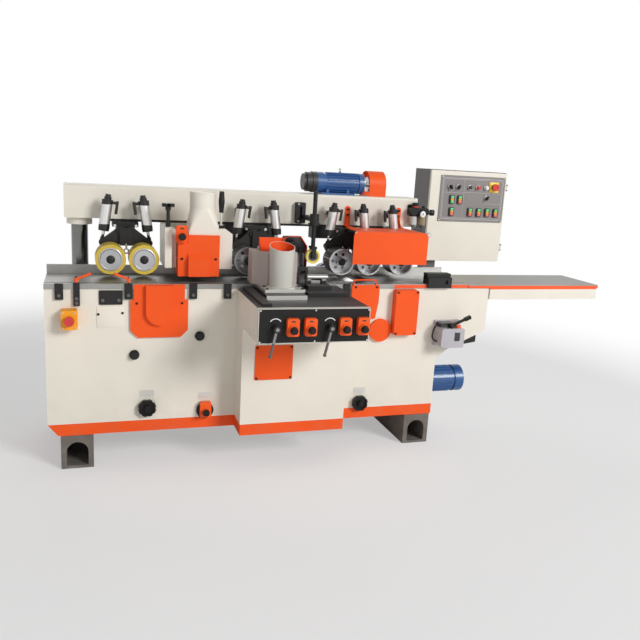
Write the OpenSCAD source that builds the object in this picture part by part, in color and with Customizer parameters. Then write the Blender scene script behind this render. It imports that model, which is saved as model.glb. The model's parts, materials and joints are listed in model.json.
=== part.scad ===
// Four sided moulder: planes all four faces of a board that is fed from right to left.
// Frame: +X towards the infeed end, -Y towards the operator, +Z up.
// The origin is on the floor, in the middle of the four anchor holes in the feet.

/* [Base] */
// Length of the base cabinet along the feed
base_len = 1967; // [1950:1:2000]
// Depth of the base cabinet, front to back
base_depth = 700; // [700:1:800]
// Height of each cast foot
foot_h = 166; // [140:1:190]
// Width of each cast foot
foot_w = 147; // [135:1:160]
// Distance from the left end of the base to the left foot
foot_inset = 55; // [40:1:80]
// Width of the arched tunnel through each foot
arch_w = 99; // [80:1:105]
// Thickness of the web below the tunnel
foot_web = 14; // [10:1:20]
// Diameter of the anchor holes
anchor_d = 18; // [14:1:22]
// Height of the painted sill frame
sill_h = 56; // [45:1:70]
// Height of the cabinet above the sill
cab_h = 642; // [620:1:680]
// Thickness of the cabinet walls
sheet_t = 6; // [4:0.5:8]
// Length of the wing that carries the infeed table
wing_len = 285; // [260:1:320]
// Distance from the left end to the middle cabinet
mid_x = 873; // [860:1:885]
// Width of the middle cabinet
mid_w = 530; // [515:1:545]
// How far the middle cabinet stands in front of the base
mid_out = 140; // [120:1:170]

/* [Table] */
// Thickness of the tables
table_t = 23; // [18:1:30]
// How far the table stands proud of the cabinet front
table_over = 5; // [3:0.5:8]
// Distance from the cabinet front to the face of the guide fence
fence_y = 292; // [285:1:298]
// Height of the guide fence
fence_h = 42; // [30:1:44]
// Thickness of the guide fence
fence_t = 14; // [10:1:18]
// Length of the infeed table past the wing
infeed_reach = 706; // [600:1:800]
// Largest depth of cut, which the infeed table is lowered by
cut_depth = 5; // [3:0.5:8]

/* [Control box] */
// Width of the control box
box_w = 509; // [500:1:520]
// Height of the control box
box_h = 156; // [150:1:170]
// How far the control box stands in front of the base
box_out = 454; // [440:1:480]
// Thickness of the front panel
panel_t = 4; // [3:0.5:6]

/* [Beam] */
// Distance from the left end of the base to the beam
beam_x = 82; // [75:1:90]
// Length of the beam
beam_len = 1873; // [1860:1:1890]
// Height of the beam
beam_h = 160; // [150:1:180]
// Depth of the beam, front to back
beam_d = 165; // [160:1:180]
// Clear height from the table to the beam
beam_gap = 262; // [258:1:275]
// Wall of the beam
beam_wall = 14; // [10:1:16]
// Diameter of the guide columns
column_d = 80; // [60:1:90]

/* [Feed] */
// Diameter of the feed rollers
roller_d = 140; // [130:1:144]
// Width of the feed rollers
roller_w = 112; // [90:1:114]
// Distance from the cabinet front to the front of the rollers
roller_y = 127; // [120:1:130]
// Thickness of the board that the machine is set for
stock_h = 22; // [16:1:26]
// Distance between the two rollers of a pair
pair_gap = 153; // [152:1:156]
// Diameter of the pivot pins of the pressure arms
pivot_d = 24; // [18:1:28]
// Thickness of the pressure arms
arm_t = 36; // [30:1:37]
// Diameter of the roller shafts
shaft_d = 30; // [24:1:34]
// Outer diameter of the air cylinders
cyl_d = 52; // [46:1:54]
// Length of the air cylinders
cyl_len = 150; // [140:1:160]
// Diameter of the cylinder rods
rod_d = 14; // [12:1:16]
// Lean of the air cylinders
lean = 8; // [6:0.5:9]

/* [Heads] */
// Cutting circle of the cutterheads
cutter_d = 125; // [110:1:127]
// Diameter of the spindles
spindle_d = 40; // [30:1:40]
// Distance from the left end to the top head
top_x = 692; // [688:1:694]
// Width of the top head cover
cover_w = 196; // [190:1:198]
// Outer diameter of the round outlet of the top hood
spigot_d = 122; // [110:1:126]
// Distance from the left end to the side head
side_x = 1050; // [1046:1:1054]
// Outer diameter of the outlet of the side hood
outlet_d = 117; // [100:1:120]
// Distance from the left end to the fence side head
fence_head_x = 1240; // [1236:1:1246]

/* [Electric cabinet] */
// Width of the electric cabinet
ec_w = 521; // [515:1:540]
// Height of the electric cabinet
ec_h = 551; // [540:1:600]
// Depth of the electric cabinet
ec_d = 200; // [180:1:250]
// Distance from the back of the base to the front of the electric cabinet
ec_set = 91; // [88:1:100]

/* [Hidden] */
$fn = 48;

// Radial clearance of a running fit
fit = 0.05;
// Gap between pieces that move past each other
gap = 0.3;
// Overlap that lets a cut pass through a face
cut = 1;

// Base levels
pad_h = 6;
sill_z0 = foot_h + pad_h;
cab_z0 = sill_z0 + sill_h;
deck_z = cab_z0 + cab_h;
table_z = deck_z + table_t;
foot_y0 = 10;
foot_len = base_depth - 2 * foot_y0;
foot_x1 = foot_inset;
foot_x2 = base_len - 2 - foot_w;
anchor_inset = 60;
org_x = (foot_x1 + foot_x2 + foot_w) / 2;
org_y = foot_y0 + foot_len / 2;
sill_slant = 45;
sill_wall = 40;
wing_x = base_len + wing_len;
wing_z0 = deck_z - 386;
wing_z1 = deck_z - 329;
wing_z2 = deck_z - 236;
wing_knee = base_len + 75;
box_x = mid_x - 5;
box_z0 = deck_z - box_h;
box_t = 5;

// Table, fence and heads
table_y0 = -table_over;
table_y1 = 375;
table_x1 = base_len + 153;
infeed_x0 = table_x1 + 3;
infeed_x1 = wing_x + infeed_reach;
infeed_y1 = 330;
cutter_r = cutter_d / 2;
spindle_r = spindle_d / 2;
stock_z = table_z + stock_h;
fence_head_y = fence_y + cutter_r - 2.5;
head_slot = cutter_r + 12;
side_y = -20;
quill_r = 45;
quill_z0 = deck_z - 130;
bed_h = 20;
slide_z0 = deck_z + bed_h + gap;
slide_z1 = slide_z0 + 14;
slide_y0 = -215;
outlet_y = -150;
outlet_z1 = table_z + 203;

// Beam and feed
beam_z0 = table_z + beam_gap;
beam_z1 = beam_z0 + beam_h;
beam_y = 355;
beam_x1 = beam_x + beam_len;
beam_mid = beam_y + beam_d / 2;
column_r = column_d / 2;
column_inset = 70;
column_xs = [beam_x + column_inset, beam_x1 - column_inset - 35];
column_y = 440;
flange_r = column_r + 21;
flange_h = 35;
lift_down = 15;
rail_h = 12;
bottom_x = 1518.5;
bottom_z = table_z - cutter_r;
hang_xs = [367, 1021.5, bottom_x, 1702.5];
// Each roller: the hanger that carries it and the side that it is on
roller_hang = [0, 0, 1, 1, 2, 2, 3];
roller_side = [-1, 1, -1, 1, -1, 1, 1];
roller_r = roller_d / 2;
roller_z = stock_z + roller_r;
pivot_off = 24;
pivot_z = beam_z0 - 47;
arm_y0 = 262;
arm_y1 = arm_y0 + arm_t;
arm_y = arm_y0 + arm_t / 2;
hang_y0 = 300;
lug_outs = [88, 88, 88, 88, 88, 88, 74];
lug_drop = 60;
gland_up = lug_drop / cos(lean);
rod_r = rod_d / 2;
rod_in = 22;
function hang_x(i) = hang_xs[roller_hang[i]];
function pivot_x(i) = hang_x(i) + roller_side[i] * pivot_off;
function roller_x(i) = hang_x(i) + roller_side[i] * pair_gap / 2;
function lug_x(i) = pivot_x(i) + roller_side[i] * lug_outs[i];

// Top head
top_y0 = 60;
top_y1 = 215;
top_z = stock_z + cutter_r;
cover_z0 = stock_z + 3;
cover_z1 = cover_z0 + 197;
hood_x = top_x + 25;
hood_z1 = cover_z1 + 125;
spigot_z1 = hood_z1 + 74;
hood_y = (top_y0 + top_y1) / 2;
cheek_w = 60;
cheek_z1 = table_z + 252;
cheek_y0 = 90;
cheek_y1 = 345;
arm_z0 = table_z + 57;
arm_z1 = arm_z0 + 130;
spine_z0 = top_z + 82;
spine_z1 = spine_z0 + 26;
motor_r = 80;
motor_y0 = 425;
post_y0 = base_depth - 45.7;
motor_y1 = post_y0 - 24.3;
lever_x = top_x + cover_w / 2 + 5;
lever_y = 110;
lever_z = cheek_z1 + 10;

// Electric cabinet
ec_y = base_depth - ec_set;
ec_x = base_len + 178;
ec_x1 = ec_x + ec_w;
ec_z0 = deck_z + 60;
ec_z1 = ec_z0 + ec_h;
ec_t = 3;
door_t = 20;
door_y0 = ec_y - 1 - door_t;
hinge_x = ec_x1 + 6;
hinge_y = ec_y - 11;
plate_y0 = door_y0 - 4;
plate_x0 = ec_x + 64;
plate_x1 = ec_x1 - 14;
plate_z0 = ec_z1 - 306;
plate_z1 = ec_z1 - 30;
stop_x = ec_x1 - 92;
stop_z = ec_z1 - 91;
stem_r = 8;

// Front of the base right of the middle cabinet: a place at a share of its length
function right_x(share) = mid_x + mid_w + (base_len - mid_x - mid_w) * share;

// Front fittings
clamp_w = 36;
clamp_xs = [46, 345, 640, 803, 1410];
long_clamp_x = 124;
wheel_pin_r = 8;
wheel_r = 42;
wheel_places = [[447, 293], [1539, 258]];
panel_y0 = -box_out - panel_t;
lock_pin_r = 8;
// Box width at which the panel's places were measured; they spread and close up with the box
drawn_w = 509;
lock_xs = [for (x = [77, 322]) box_x + x * box_w / drawn_w];
lock_z = deck_z - 85;
counter_xs = [for (x = [150, 230, 389, 473]) box_x + x * box_w / drawn_w];
counter_z = deck_z - 80;
stop_box_x = 71;
stop_box_z = deck_z - 132;
press_x = 1290;
press_y = 160;
press_z = table_z + 116;
press_r = 37;

// Shared shapes

// Moves a sub-part from the cabinet's left front corner to the origin
module place() {
    translate([-org_x, -org_y, 0]) children();
}

// A block between two opposite corners
module block(lo, hi) {
    translate(lo) cube(hi - lo);
}

// An outline in the XZ plane, drawn out along Y
module along_y(y0, y1) {
    translate([0, y1, 0]) rotate([90, 0, 0]) linear_extrude(y1 - y0) children();
}

// An outline in the YZ plane, drawn out along X
module along_x(x0, x1) {
    translate([x0, 0, 0]) rotate([90, 0, 90]) linear_extrude(x1 - x0) children();
}

// Round bars along the three axes
module bar_x(x0, x1, y, z, r) {
    translate([x0, y, z]) rotate([0, 90, 0]) cylinder(h = x1 - x0, r = r);
}
module bar_y(x, z, y0, y1, r) {
    translate([x, y1, z]) rotate([90, 0, 0]) cylinder(h = y1 - y0, r = r);
}
module bar_z(x, y, z0, z1, r) {
    translate([x, y, z0]) cylinder(h = z1 - z0, r = r);
}

// A rectangle with rounded corners, from its lower left corner
module round_rect(w, h, r) {
    translate([r, 0]) square([w - 2 * r, h]);
    translate([0, r]) square([w, h - 2 * r]);
    for (x = [r, w - r]) for (y = [r, h - r]) translate([x, y]) circle(r);
}

// A cutterhead lying along +Z from its lower face, with knife gullets
module cutter(len) {
    gullet = 12;
    difference() {
        cylinder(h = len, r = cutter_r);
        for (a = [0 : 90 : 270]) rotate(a)
            translate([cutter_r - gullet / 2, -gullet, -cut]) cube([gullet, gullet, len + 2 * cut]);
    }
}

// A finned motor body along +Z from its flange
module motor_body(len, r) {
    fins = 20;
    fin_h = 7;
    cylinder(h = len, r = r - fin_h);
    for (i = [0 : fins - 1]) rotate(i * 360 / fins)
        translate([r - 2 * fin_h, -1.5, len * 0.12]) cube([2 * fin_h - 0.5, 3, len * 0.6]);
    translate([0, 0, len * 0.78]) cylinder(h = len * 0.22, r = r - 1);
    cylinder(h = len * 0.1, r = r - 1);
}

// Base

// Cast foot with its arched tunnel
module foot() {
    straight = 68;
    difference() {
        along_y(0, foot_len) difference() {
            square([foot_w, foot_h]);
            translate([(foot_w - arch_w) / 2, foot_web]) square([arch_w, straight]);
            translate([foot_w / 2, foot_web + straight]) circle(arch_w / 2);
        }
        for (y = [anchor_inset, foot_len - anchor_inset])
            bar_z(foot_w / 2, y, -cut, foot_web + cut, anchor_d / 2);
    }
}

module machine_feet() {
    color("dimgray") place()
        for (x = [foot_x1, foot_x2]) translate([x, foot_y0, 0]) foot();
}

module base_sill() {
    inner_x0 = sill_slant + sill_wall;
    color("orangered") place() {
        difference() {
            union() {
                along_y(0, base_depth) polygon([[0, cab_z0], [sill_slant, sill_z0],
                    [base_len, sill_z0], [base_len, cab_z0]]);
                block([mid_x, -mid_out, sill_z0], [mid_x + mid_w, sill_wall, cab_z0]);
            }
            block([inner_x0, sill_wall, sill_z0 - cut],
                [base_len - sill_wall, base_depth - sill_wall, cab_z0 + cut]);
            block([mid_x + sill_wall, sill_wall - mid_out, sill_z0 - cut],
                [mid_x + mid_w - sill_wall, sill_wall + cut, cab_z0 + cut]);
        }
        for (x = [foot_x1, foot_x2])
            block([x, foot_y0, foot_h], [x + foot_w, foot_y0 + foot_len, sill_z0 + cut]);
    }
}

// Outline of the base from the front, with its walls moved in by t
module base_outline(t) {
    rise = t * 1.2;
    polygon([[t, cab_z0 - (t > 0 ? cut : 0)], [base_len - t, cab_z0 - (t > 0 ? cut : 0)],
        [base_len - t, wing_z0 + rise], [wing_knee, wing_z1 + rise], [wing_x - t, wing_z2 + rise],
        [wing_x - t, deck_z - t], [t, deck_z - t]]);
}

module base_cabinet() {
    color("ivory") place() difference() {
        union() {
            along_y(0, base_depth) base_outline(0);
            for (p = wheel_places) bar_y(p[0], p[1], -34, sheet_t, wheel_pin_r);
        }
        along_y(sheet_t, base_depth - sheet_t) base_outline(sheet_t);
        // Openings for the bottom head and its motor
        block([bottom_x - head_slot, 58, deck_z - 2 * sheet_t], [bottom_x + head_slot, 302, deck_z + cut]);
        block([bottom_x - motor_r - 6, motor_y0 - 4, deck_z - 2 * sheet_t],
            [bottom_x + motor_r + 6, motor_y1 + 24, deck_z + cut]);
        // Openings for the fence side spindle and the quill of the side head
        bar_z(fence_head_x, fence_head_y, deck_z - 2 * sheet_t, deck_z + cut, spindle_r + 8);
        block([side_x - quill_r - 15, -cut, quill_z0 - 15],
            [side_x + quill_r + 15, side_y + quill_r + 22, deck_z + cut]);
    }
}

// Upper cover of the outfeed side: a flared plate with a raised rounded boss
module outfeed_cover() {
    w = 264;
    neck = 16;
    flare_z = 74;
    h = 254;
    corner = 34;
    boss_r = 63;
    translate([371, 0, table_z - h]) {
        along_y(table_y0 - 6, table_y0) {
            translate([neck, h / 2]) square([w - 2 * neck, h / 2 - 2]);
            polygon([[corner, 0], [w - corner, 0], [w, corner], [w, h - flare_z],
                [0, h - flare_z], [0, corner]]);
        }
        along_y(table_y0 - 26, table_y0 - 5) {
            translate([w / 2, 62 + boss_r]) circle(boss_r);
            translate([w / 2 - boss_r, 62 + boss_r]) square([2 * boss_r, h - 66 - boss_r]);
        }
    }
}

// Covers on the infeed side: a tapered shield, a round cap and a box
module infeed_covers() {
    box_w = 128;
    translate([right_x(0.092), 0, table_z]) along_y(table_y0 - 6, table_y0)
        polygon([[0, -4], [151, -4], [151, -90], [137, -180], [107, -180], [0, -90]]);
    bar_y(right_x(0.394), table_z - 242, -16, 0, 60);
    translate([right_x(0.505), 0, deck_z - 240]) difference() {
        along_y(-46, 0) round_rect(box_w, 236, 10);
        along_y(-42, cut) translate([4, 4]) round_rect(box_w - 8, 228, 8);
    }
}

// Arched hood over the fence side head, standing on the table
module fence_hood() {
    half = head_slot + 2;
    t = 3;
    peak = table_z + 196;
    translate([fence_head_x, 0, 0]) along_y(fence_y + 48, table_y1 - 2) difference() {
        polygon([[-half, table_z], [-half, peak - 52], [-half + 36, peak], [half - 36, peak],
            [half, peak - 52], [half, table_z]]);
        polygon([[t - half, table_z - cut], [t - half, peak - 53], [37 + t - half, peak - t],
            [half - 37 - t, peak - t], [half - t, peak - 53], [half - t, table_z - cut]]);
    }
}

module front_covers() {
    color("orangered") place() {
        outfeed_cover();
        infeed_covers();
        translate([mid_x + 63, 0, box_z0 - 263])
            along_y(-mid_out - 5, -mid_out) round_rect(186, 170, 4);
        fence_hood();
    }
}

// Control box on its pedestal cabinet, with the slide bed of the side head on top
module control_box() {
    bed_half = 97;
    color("lightgray") place() difference() {
        union() {
            along_y(-box_out, 0) difference() {
                translate([box_x, box_z0]) square([box_w, box_h]);
                translate([box_x + box_t, box_z0 + box_t])
                    square([box_w - 2 * box_t, box_h - 2 * box_t]);
            }
            difference() {
                block([mid_x, -mid_out, cab_z0], [mid_x + mid_w, 0, box_z0 + cut]);
                block([mid_x + sheet_t, sheet_t - mid_out, cab_z0 - cut],
                    [mid_x + mid_w - sheet_t, cut, box_z0 - sheet_t]);
            }
            block([side_x - bed_half - 8, slide_y0 - 70, deck_z - 2],
                [side_x + bed_half - 12, -12, deck_z + bed_h]);
            block([side_x - bed_half - 58, slide_y0 - 200, deck_z - 2],
                [side_x - bed_half - 16, -12, deck_z + 12]);
            block([side_x + bed_half + 16, -205, deck_z - 2], [box_x + box_w - 6, -12, deck_z + 16]);
            block([side_x + bed_half + 42, -120, deck_z + 15], [box_x + box_w - 70, -40, deck_z + 34]);
            // Upright frame beside the outlet
            along_y(-66, -52) translate([side_x + bed_half + 4, deck_z - 2]) difference() {
                square([48, 118]);
                translate([10, 40]) square([28, 62]);
            }
            bar_x(side_x + bed_half + 50, box_x + box_w - 66, -30, deck_z + 62, 15);
            for (x = [side_x + bed_half + 56, box_x + box_w - 96])
                block([x, -44, deck_z - 2], [x + 22, -16, deck_z + 60]);
        }
        block([side_x - quill_r - 15, side_y - quill_r - 72, deck_z - 2 * box_t],
            [side_x + quill_r + 15, cut, deck_z + bed_h + cut]);
    }
}

module control_panel() {
    color("black") place() {
        along_y(panel_y0, -box_out) translate([box_x, box_z0]) round_rect(box_w, box_h, 6);
        for (x = lock_xs) bar_y(x, lock_z, panel_y0 - 40, panel_y0 + cut, lock_pin_r);
    }
}

// A digital position counter with a dome round its shaft, its back at y
module counter(x, z, y) {
    w = 54;
    h = 78;
    along_y(y - 26, y) translate([x - w / 2, z - h / 2]) round_rect(w, h, 8);
    bar_y(x, z - 10, y - 34, y - 25, 22);
    bar_y(x, z - 10, y - 52, y - 33, 13);
}

module position_counters() {
    color("darkorange") place() {
        for (x = counter_xs) counter(x, counter_z, panel_y0);
        counter(725, cab_z0 + 45, -8);
    }
}

// A clamp bracket that hooks the table edge to the cabinet front
module clamp_bracket(x, w, top, drop) {
    along_x(x, x + w) polygon([[table_y0 - 9, deck_z - drop], [0, deck_z - drop], [0, deck_z - 2],
        [table_y0, deck_z - 2], [table_y0, table_z + top], [table_y0 - 9, table_z + top]]);
}

// Level of the wing's sloping underside
function under_z(x) = wing_z1 + (x - wing_knee) * (wing_z2 - wing_z1) / (wing_x - wing_knee);

module table_clamps() {
    color("black") place() {
        for (x = clamp_xs) clamp_bracket(x, clamp_w, 3, 47);
        clamp_bracket(long_clamp_x, 28, 6, 76);
        // Pins of the two clamp levers
        bar_z(long_clamp_x + 14, table_y0 - 4.5, table_z + 5, table_z + 34, 4);
        bar_z(clamp_xs[1] + 18, table_y0 - 4.5, table_z + 2, table_z + 34, 4);
        along_y(-6, 0) translate([234, deck_z - 73]) round_rect(103, 66, 4);
        for (p = [[389, deck_z - 314], [693, deck_z - 230]]) {
            bar_y(p[0], p[1], -10, 0, 23);
            bar_y(p[0], p[1], -24, -9, 17);
        }
        bar_y(725, cab_z0 + 35, -8, 0, 42);
        difference() {
            union() {
                block([base_len - 92, table_y0, table_z], [base_len + 43, 45, table_z + 55]);
                block([base_len - 92, table_y0 - 17, table_z - 19], [base_len + 43, table_y0, table_z + 36]);
                block([base_len - 92, table_y0 - 17, table_z],
                    [base_len + 43, table_y0 + cut, table_z + 36]);
            }
            bar_x(base_len - 93, base_len + 44, 20, table_z + 32, 11);
            bar_y(base_len + 12, table_z + 12, table_y0 - 18, table_y0 - 6, 11);
        }
        // Casting under the wing
        along_y(120, 240) polygon([[wing_x - 84, under_z(wing_x - 84)], [wing_x, wing_z2],
            [wing_x + 52, wing_z2], [wing_x + 52, wing_z2 - 40], [wing_x + 22, wing_z2 - 42],
            [wing_x + 22, wing_z2 - 96], [wing_x - 84, wing_z2 - 112]]);
    }
}

module work_table() {
    groove = 12;
    color("silver") place() difference() {
        block([0, table_y0, deck_z], [table_x1, table_y1, table_z]);
        block([bottom_x - head_slot + 4, 66, deck_z - cut], [bottom_x + head_slot - 4, 294, table_z + cut]);
        bar_z(fence_head_x, fence_head_y, deck_z - cut, table_z + cut, spindle_r + 8);
        block([side_x - quill_r - 18, table_y0 - cut, deck_z - cut],
            [side_x + quill_r + 18, side_y + quill_r + 25, table_z + cut]);
        for (x = [[-cut, side_x - 120], [side_x + 120, bottom_x - 100], [bottom_x + 100, table_x1 + cut]])
            block([x[0], 28, table_z - 9], [x[1], 28 + groove, table_z + cut]);
    }
}

module guide_fence() {
    opening = cutter_r + 10;
    runs = [[0, fence_head_x - opening], [fence_head_x + opening, table_x1 - 10]];
    color("silver") place() for (run = runs)
        along_x(run[0], run[1]) polygon([[fence_y, table_z], [fence_y + 46, table_z],
            [fence_y + 46, table_z + 10], [fence_y + fence_t, table_z + 10],
            [fence_y + fence_t, table_z + fence_h], [fence_y, table_z + fence_h]]);
}

module guide_columns() {
    base_r = column_r + 16;
    color("slategray") place() {
        for (x = column_xs) {
            bar_z(x, column_y, deck_z, beam_z1 - lift_down - 20, column_r);
            bar_z(x, column_y, deck_z, deck_z + 18, base_r);
        }
        // Post that the top head slides on
        block([top_x - 40, post_y0, deck_z], [top_x + 40, base_depth, cheek_z1 + 20]);
        block([top_x - 70, post_y0 - 20, deck_z], [top_x + 70, base_depth, deck_z + 12]);
    }
}

module base_motors() {
    lift_r = 75;
    color("steelblue") place() {
        difference() {
            union() {
                translate([bottom_x, motor_y0, bottom_z]) rotate([-90, 0, 0])
                    motor_body(motor_y1 - motor_y0, motor_r);
                for (s = [-1, 1]) translate([bottom_x + s * 88 - 25, motor_y0 + 15, deck_z])
                    cube([50, 150, 12]);
            }
            bar_y(bottom_x, bottom_z, motor_y0 - cut, motor_y0 + 40, spindle_r + fit);
        }
        difference() {
            union() {
                translate([fence_head_x, fence_head_y, deck_z - sheet_t]) mirror([0, 0, 1])
                    motor_body(250, motor_r);
                bar_z(fence_head_x, fence_head_y, deck_z - sheet_t - 12, deck_z - sheet_t, motor_r + 12);
            }
            bar_z(fence_head_x, fence_head_y, deck_z - sheet_t - 60, deck_z, spindle_r + fit);
        }
        translate([base_len, 150, sill_z0 + 150]) rotate([0, 90, 0]) motor_body(235, lift_r);
    }
}

module electric_cabinet() {
    color("dimgray") place() {
        difference() {
            block([ec_x, ec_y, ec_z0], [ec_x1, ec_y + ec_d, ec_z1]);
            block([ec_x + ec_t, ec_y - cut, ec_z0 + ec_t], [ec_x1 - ec_t, ec_y + ec_d - ec_t, ec_z1 - ec_t]);
        }
        // Foot that stands on the wing
        block([ec_x + 10, ec_y + 20, deck_z], [ec_x + 95, base_depth - 4, ec_z0 + cut]);
        // Hinge ears and pins
        for (z = [ec_z0 + 70, ec_z1 - 110]) {
            for (dz = [0, 34]) {
                block([ec_x1, hinge_y, z + dz], [hinge_x + 6, ec_y + 40, z + dz + 6]);
                bar_z(hinge_x, hinge_y, z + dz, z + dz + 6, 6);
            }
            bar_z(hinge_x, hinge_y, z, z + 40, 4);
        }
    }
}

module cabinet_door() {
    edge = hinge_x - 12;
    color("ivory") place() {
        difference() {
            union() {
                translate([0, 0, ec_z0 + 4]) block([ec_x, door_y0, 0], [edge, door_y0 + door_t, ec_h - 8]);
                for (z = [ec_z0 + 70, ec_z1 - 110]) {
                    bar_z(hinge_x, hinge_y, z + 6 + gap, z + 34 - gap, 7);
                    block([edge - 1, hinge_y - 4, z + 6 + gap], [hinge_x - 2, hinge_y + 4, z + 34 - gap]);
                }
            }
            for (z = [ec_z0 + 70, ec_z1 - 110]) bar_z(hinge_x, hinge_y, z, z + 40, 4 + fit);
            bar_y(stop_x, stop_z, door_y0 - cut, door_y0 + door_t + cut, stem_r + 2);
            block([ec_x + 3, door_y0 + 3, ec_z0 + 7], [edge - 12, door_y0 + door_t + cut, ec_z1 - 7]);
        }
    }
}

// A selector switch or lamp, its back at y
module round_switch(x, z, y, r) {
    bar_y(x, z, y - 5, y, r);
    bar_y(x, z, y - 16, y - 4, r * 0.75);
}

module switch_panel() {
    pair_places = [[81, 173], [134, 173], [84, 246], [211, 246], [271, 246], [330, 246], [389, 246]];
    round_places = [[64, 98], [118, 98], [196, 97], [253, 96], [309, 96], [318, 158]];
    color("gray") place() {
        difference() {
            along_y(plate_y0, door_y0) translate([plate_x0, plate_z0])
                round_rect(plate_x1 - plate_x0, plate_z1 - plate_z0, 4);
            bar_y(stop_x, stop_z, plate_y0 - cut, door_y0 + cut, stem_r + fit);
        }
        for (p = pair_places) along_y(plate_y0 - 9, plate_y0 + cut)
            translate([plate_x0 + p[0] - 16, ec_z1 - p[1] - 26]) round_rect(32, 52, 6);
        for (p = round_places) round_switch(plate_x0 + p[0], ec_z1 - p[1], plate_y0 + cut, 15);
    }
}

// A mushroom stop button, its stem running to y1
module mushroom(x, z, y0, y1) {
    difference() {
        union() {
            bar_y(x, z, y0, y0 + 14, 22);
            bar_y(x, z, y0 + 13, y0 + 19, 15);
            bar_y(x, z, y0 + 18, y1, stem_r);
        }
        bar_y(x, z, y0 - cut, y0 + 2, 9);
    }
}

module main_stop_button() {
    color("red") place() mushroom(stop_x, stop_z, plate_y0 - 28, door_y0 + 9);
}

module stop_box() {
    w = 70;
    h = 88;
    d = 60;
    color("gold") place() translate([stop_box_x, 0, stop_box_z - h / 2]) difference() {
        along_y(-d, 0) round_rect(w, h, 8);
        along_y(-d + 5, -4) translate([5, 5]) round_rect(w - 10, h - 10, 4);
        bar_y(w / 2, h / 2, -d - cut, -d + 6, stem_r + fit);
    }
}

module side_stop_button() {
    color("red") place() mushroom(stop_box_x + 35, stop_box_z, -88, -40);
}

// Hand pump for the oil lines, on the front of the base and its wing
pump_x = base_len - 22;
pump_z = deck_z - 304;
pump_pin_x = pump_x + 62;
pump_pin_z = pump_z + 118;

module lube_pump() {
    w = 133;
    color("lightgray") place() {
        block([pump_x - 6, -10, pump_z - 4], [pump_x + w + 6, 0, pump_z + 134]);
        along_y(-90, -9) translate([pump_x, pump_z]) round_rect(w, 104, 12);
        block([pump_x + 4, -62, pump_z + 90], [pump_x + 88, -9, pump_z + 128]);
        bar_z(pump_x + 104, -64, pump_z + 102, pump_z + 118, 16);
        bar_y(pump_pin_x, pump_pin_z, -86, -61, 7);
    }
}

module pump_lever() {
    reach = 112;
    rise = 23;
    color("black") place() translate([pump_pin_x, 0, pump_pin_z]) difference() {
        union() {
            bar_y(0, 0, -84, -62.5, 13);
            rotate([0, -rise, 0]) {
                translate([4, -79, -6]) cube([reach, 12, 12]);
                translate([reach - 34, -82, -9]) cube([36, 18, 18]);
            }
        }
        bar_y(0, 0, -85, -61, 7 + fit);
    }
}

// Beam and what it carries

module feed_beam() {
    boss = column_inset + 88;
    edge = 12;
    color("ivory") place() difference() {
        union() {
            along_x(beam_x, beam_x1) translate([beam_y, beam_z0])
                round_rect(beam_d, beam_h, edge);
            block([beam_x, beam_y, beam_z0], [beam_x1, beam_y + beam_d, beam_z0 + 2 * edge]);
            for (x = column_xs) bar_z(x, column_y, beam_z0 - flange_h, beam_z0 + cut, flange_r);
        }
        for (x = column_xs) bar_z(x, column_y, beam_z0 - flange_h - cut, beam_z1 - 16, column_r + fit);
        block([beam_x + boss, beam_y + beam_wall, beam_z0 - cut],
            [beam_x1 - boss - 40, beam_y + beam_d - beam_wall, beam_z1 - beam_wall]);
    }
}

module hanger_rail() {
    foot_half = 44;
    plate_half = 62;
    front_half = 30;
    rail_y1 = beam_y + 70;
    color("black") place() {
        block([beam_x + 178, beam_y + 2, beam_z0 - rail_h], [beam_x1 - 195, rail_y1, beam_z0]);
        for (x = hang_xs)
            block([x - foot_half, hang_y0, pivot_z - 32], [x + foot_half, rail_y1, beam_z0 - rail_h + cut]);
        for (x = hang_xs)
            block([x - plate_half, hang_y0 + 10, pivot_z + 12],
                [x + plate_half, rail_y1, beam_z0 - rail_h + cut]);
        // Gear case behind the infeed rollers
        block([bottom_x - 175, beam_y + 2, pivot_z - 28], [bottom_x - 60, rail_y1, beam_z0 - rail_h + cut]);
        // Front plates that tie the pivot pins together
        for (x = hang_xs)
            block([x - front_half, arm_y0 - 16, pivot_z - 72], [x + front_half, arm_y0 - 8, pivot_z + 13]);
        for (i = [0 : 6]) {
            bar_y(pivot_x(i), pivot_z, arm_y0 - 10, hang_y0 + cut, pivot_d / 2);
            bar_y(pivot_x(i), pivot_z, arm_y0 - 10, arm_y0 - gap, pivot_d / 2 + 6);
        }
    }
}

// An air cylinder, standing on its gland with the rod's axis along +Z, its lever towards the given side
module air_cylinder(side) {
    top_cap = 22;
    low_cap = 33;
    r = cyl_d / 2;
    difference() {
        union() {
            cylinder(h = cyl_len, r = r - 1);
            translate([0, 0, 10]) cylinder(h = low_cap - 10, r = r);
            cylinder(h = 11, r1 = r - 5, r2 = r);
            translate([0, 0, cyl_len - top_cap]) cylinder(h = top_cap, r = r);
            translate([0, 0, cyl_len - cut]) cylinder(h = 15, r = 17);
            translate([0, 0, cyl_len + 13]) cylinder(h = 13, r = 13);
            translate([0, 0, cyl_len - top_cap / 2]) rotate([0, 90 * side, 0]) cylinder(h = r + 20, r = 7);
            translate([side * (r + 20), 0, cyl_len - top_cap / 2 - 52]) cylinder(h = 62, r = 7);
        }
        translate([0, 0, -cut]) cylinder(h = low_cap, r = rod_r + 4);
        translate([0, 0, low_cap - 2 * cut]) cylinder(h = cyl_len * 0.5, r = r - 7);
    }
}

module air_cylinders() {
    color("silver") place() for (i = [0 : 6]) {
        s = roller_side[i];
        translate([lug_x(i), arm_y, pivot_z - lug_drop]) rotate([0, -s * lean, 0])
            translate([0, 0, gland_up - 4]) {
                air_cylinder(-s);
                translate([-13, cyl_d / 2 - 8, cyl_len - 46]) cube([26, beam_y - arm_y - cyl_d / 2 + 8, 22]);
            }
    }
}

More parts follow.
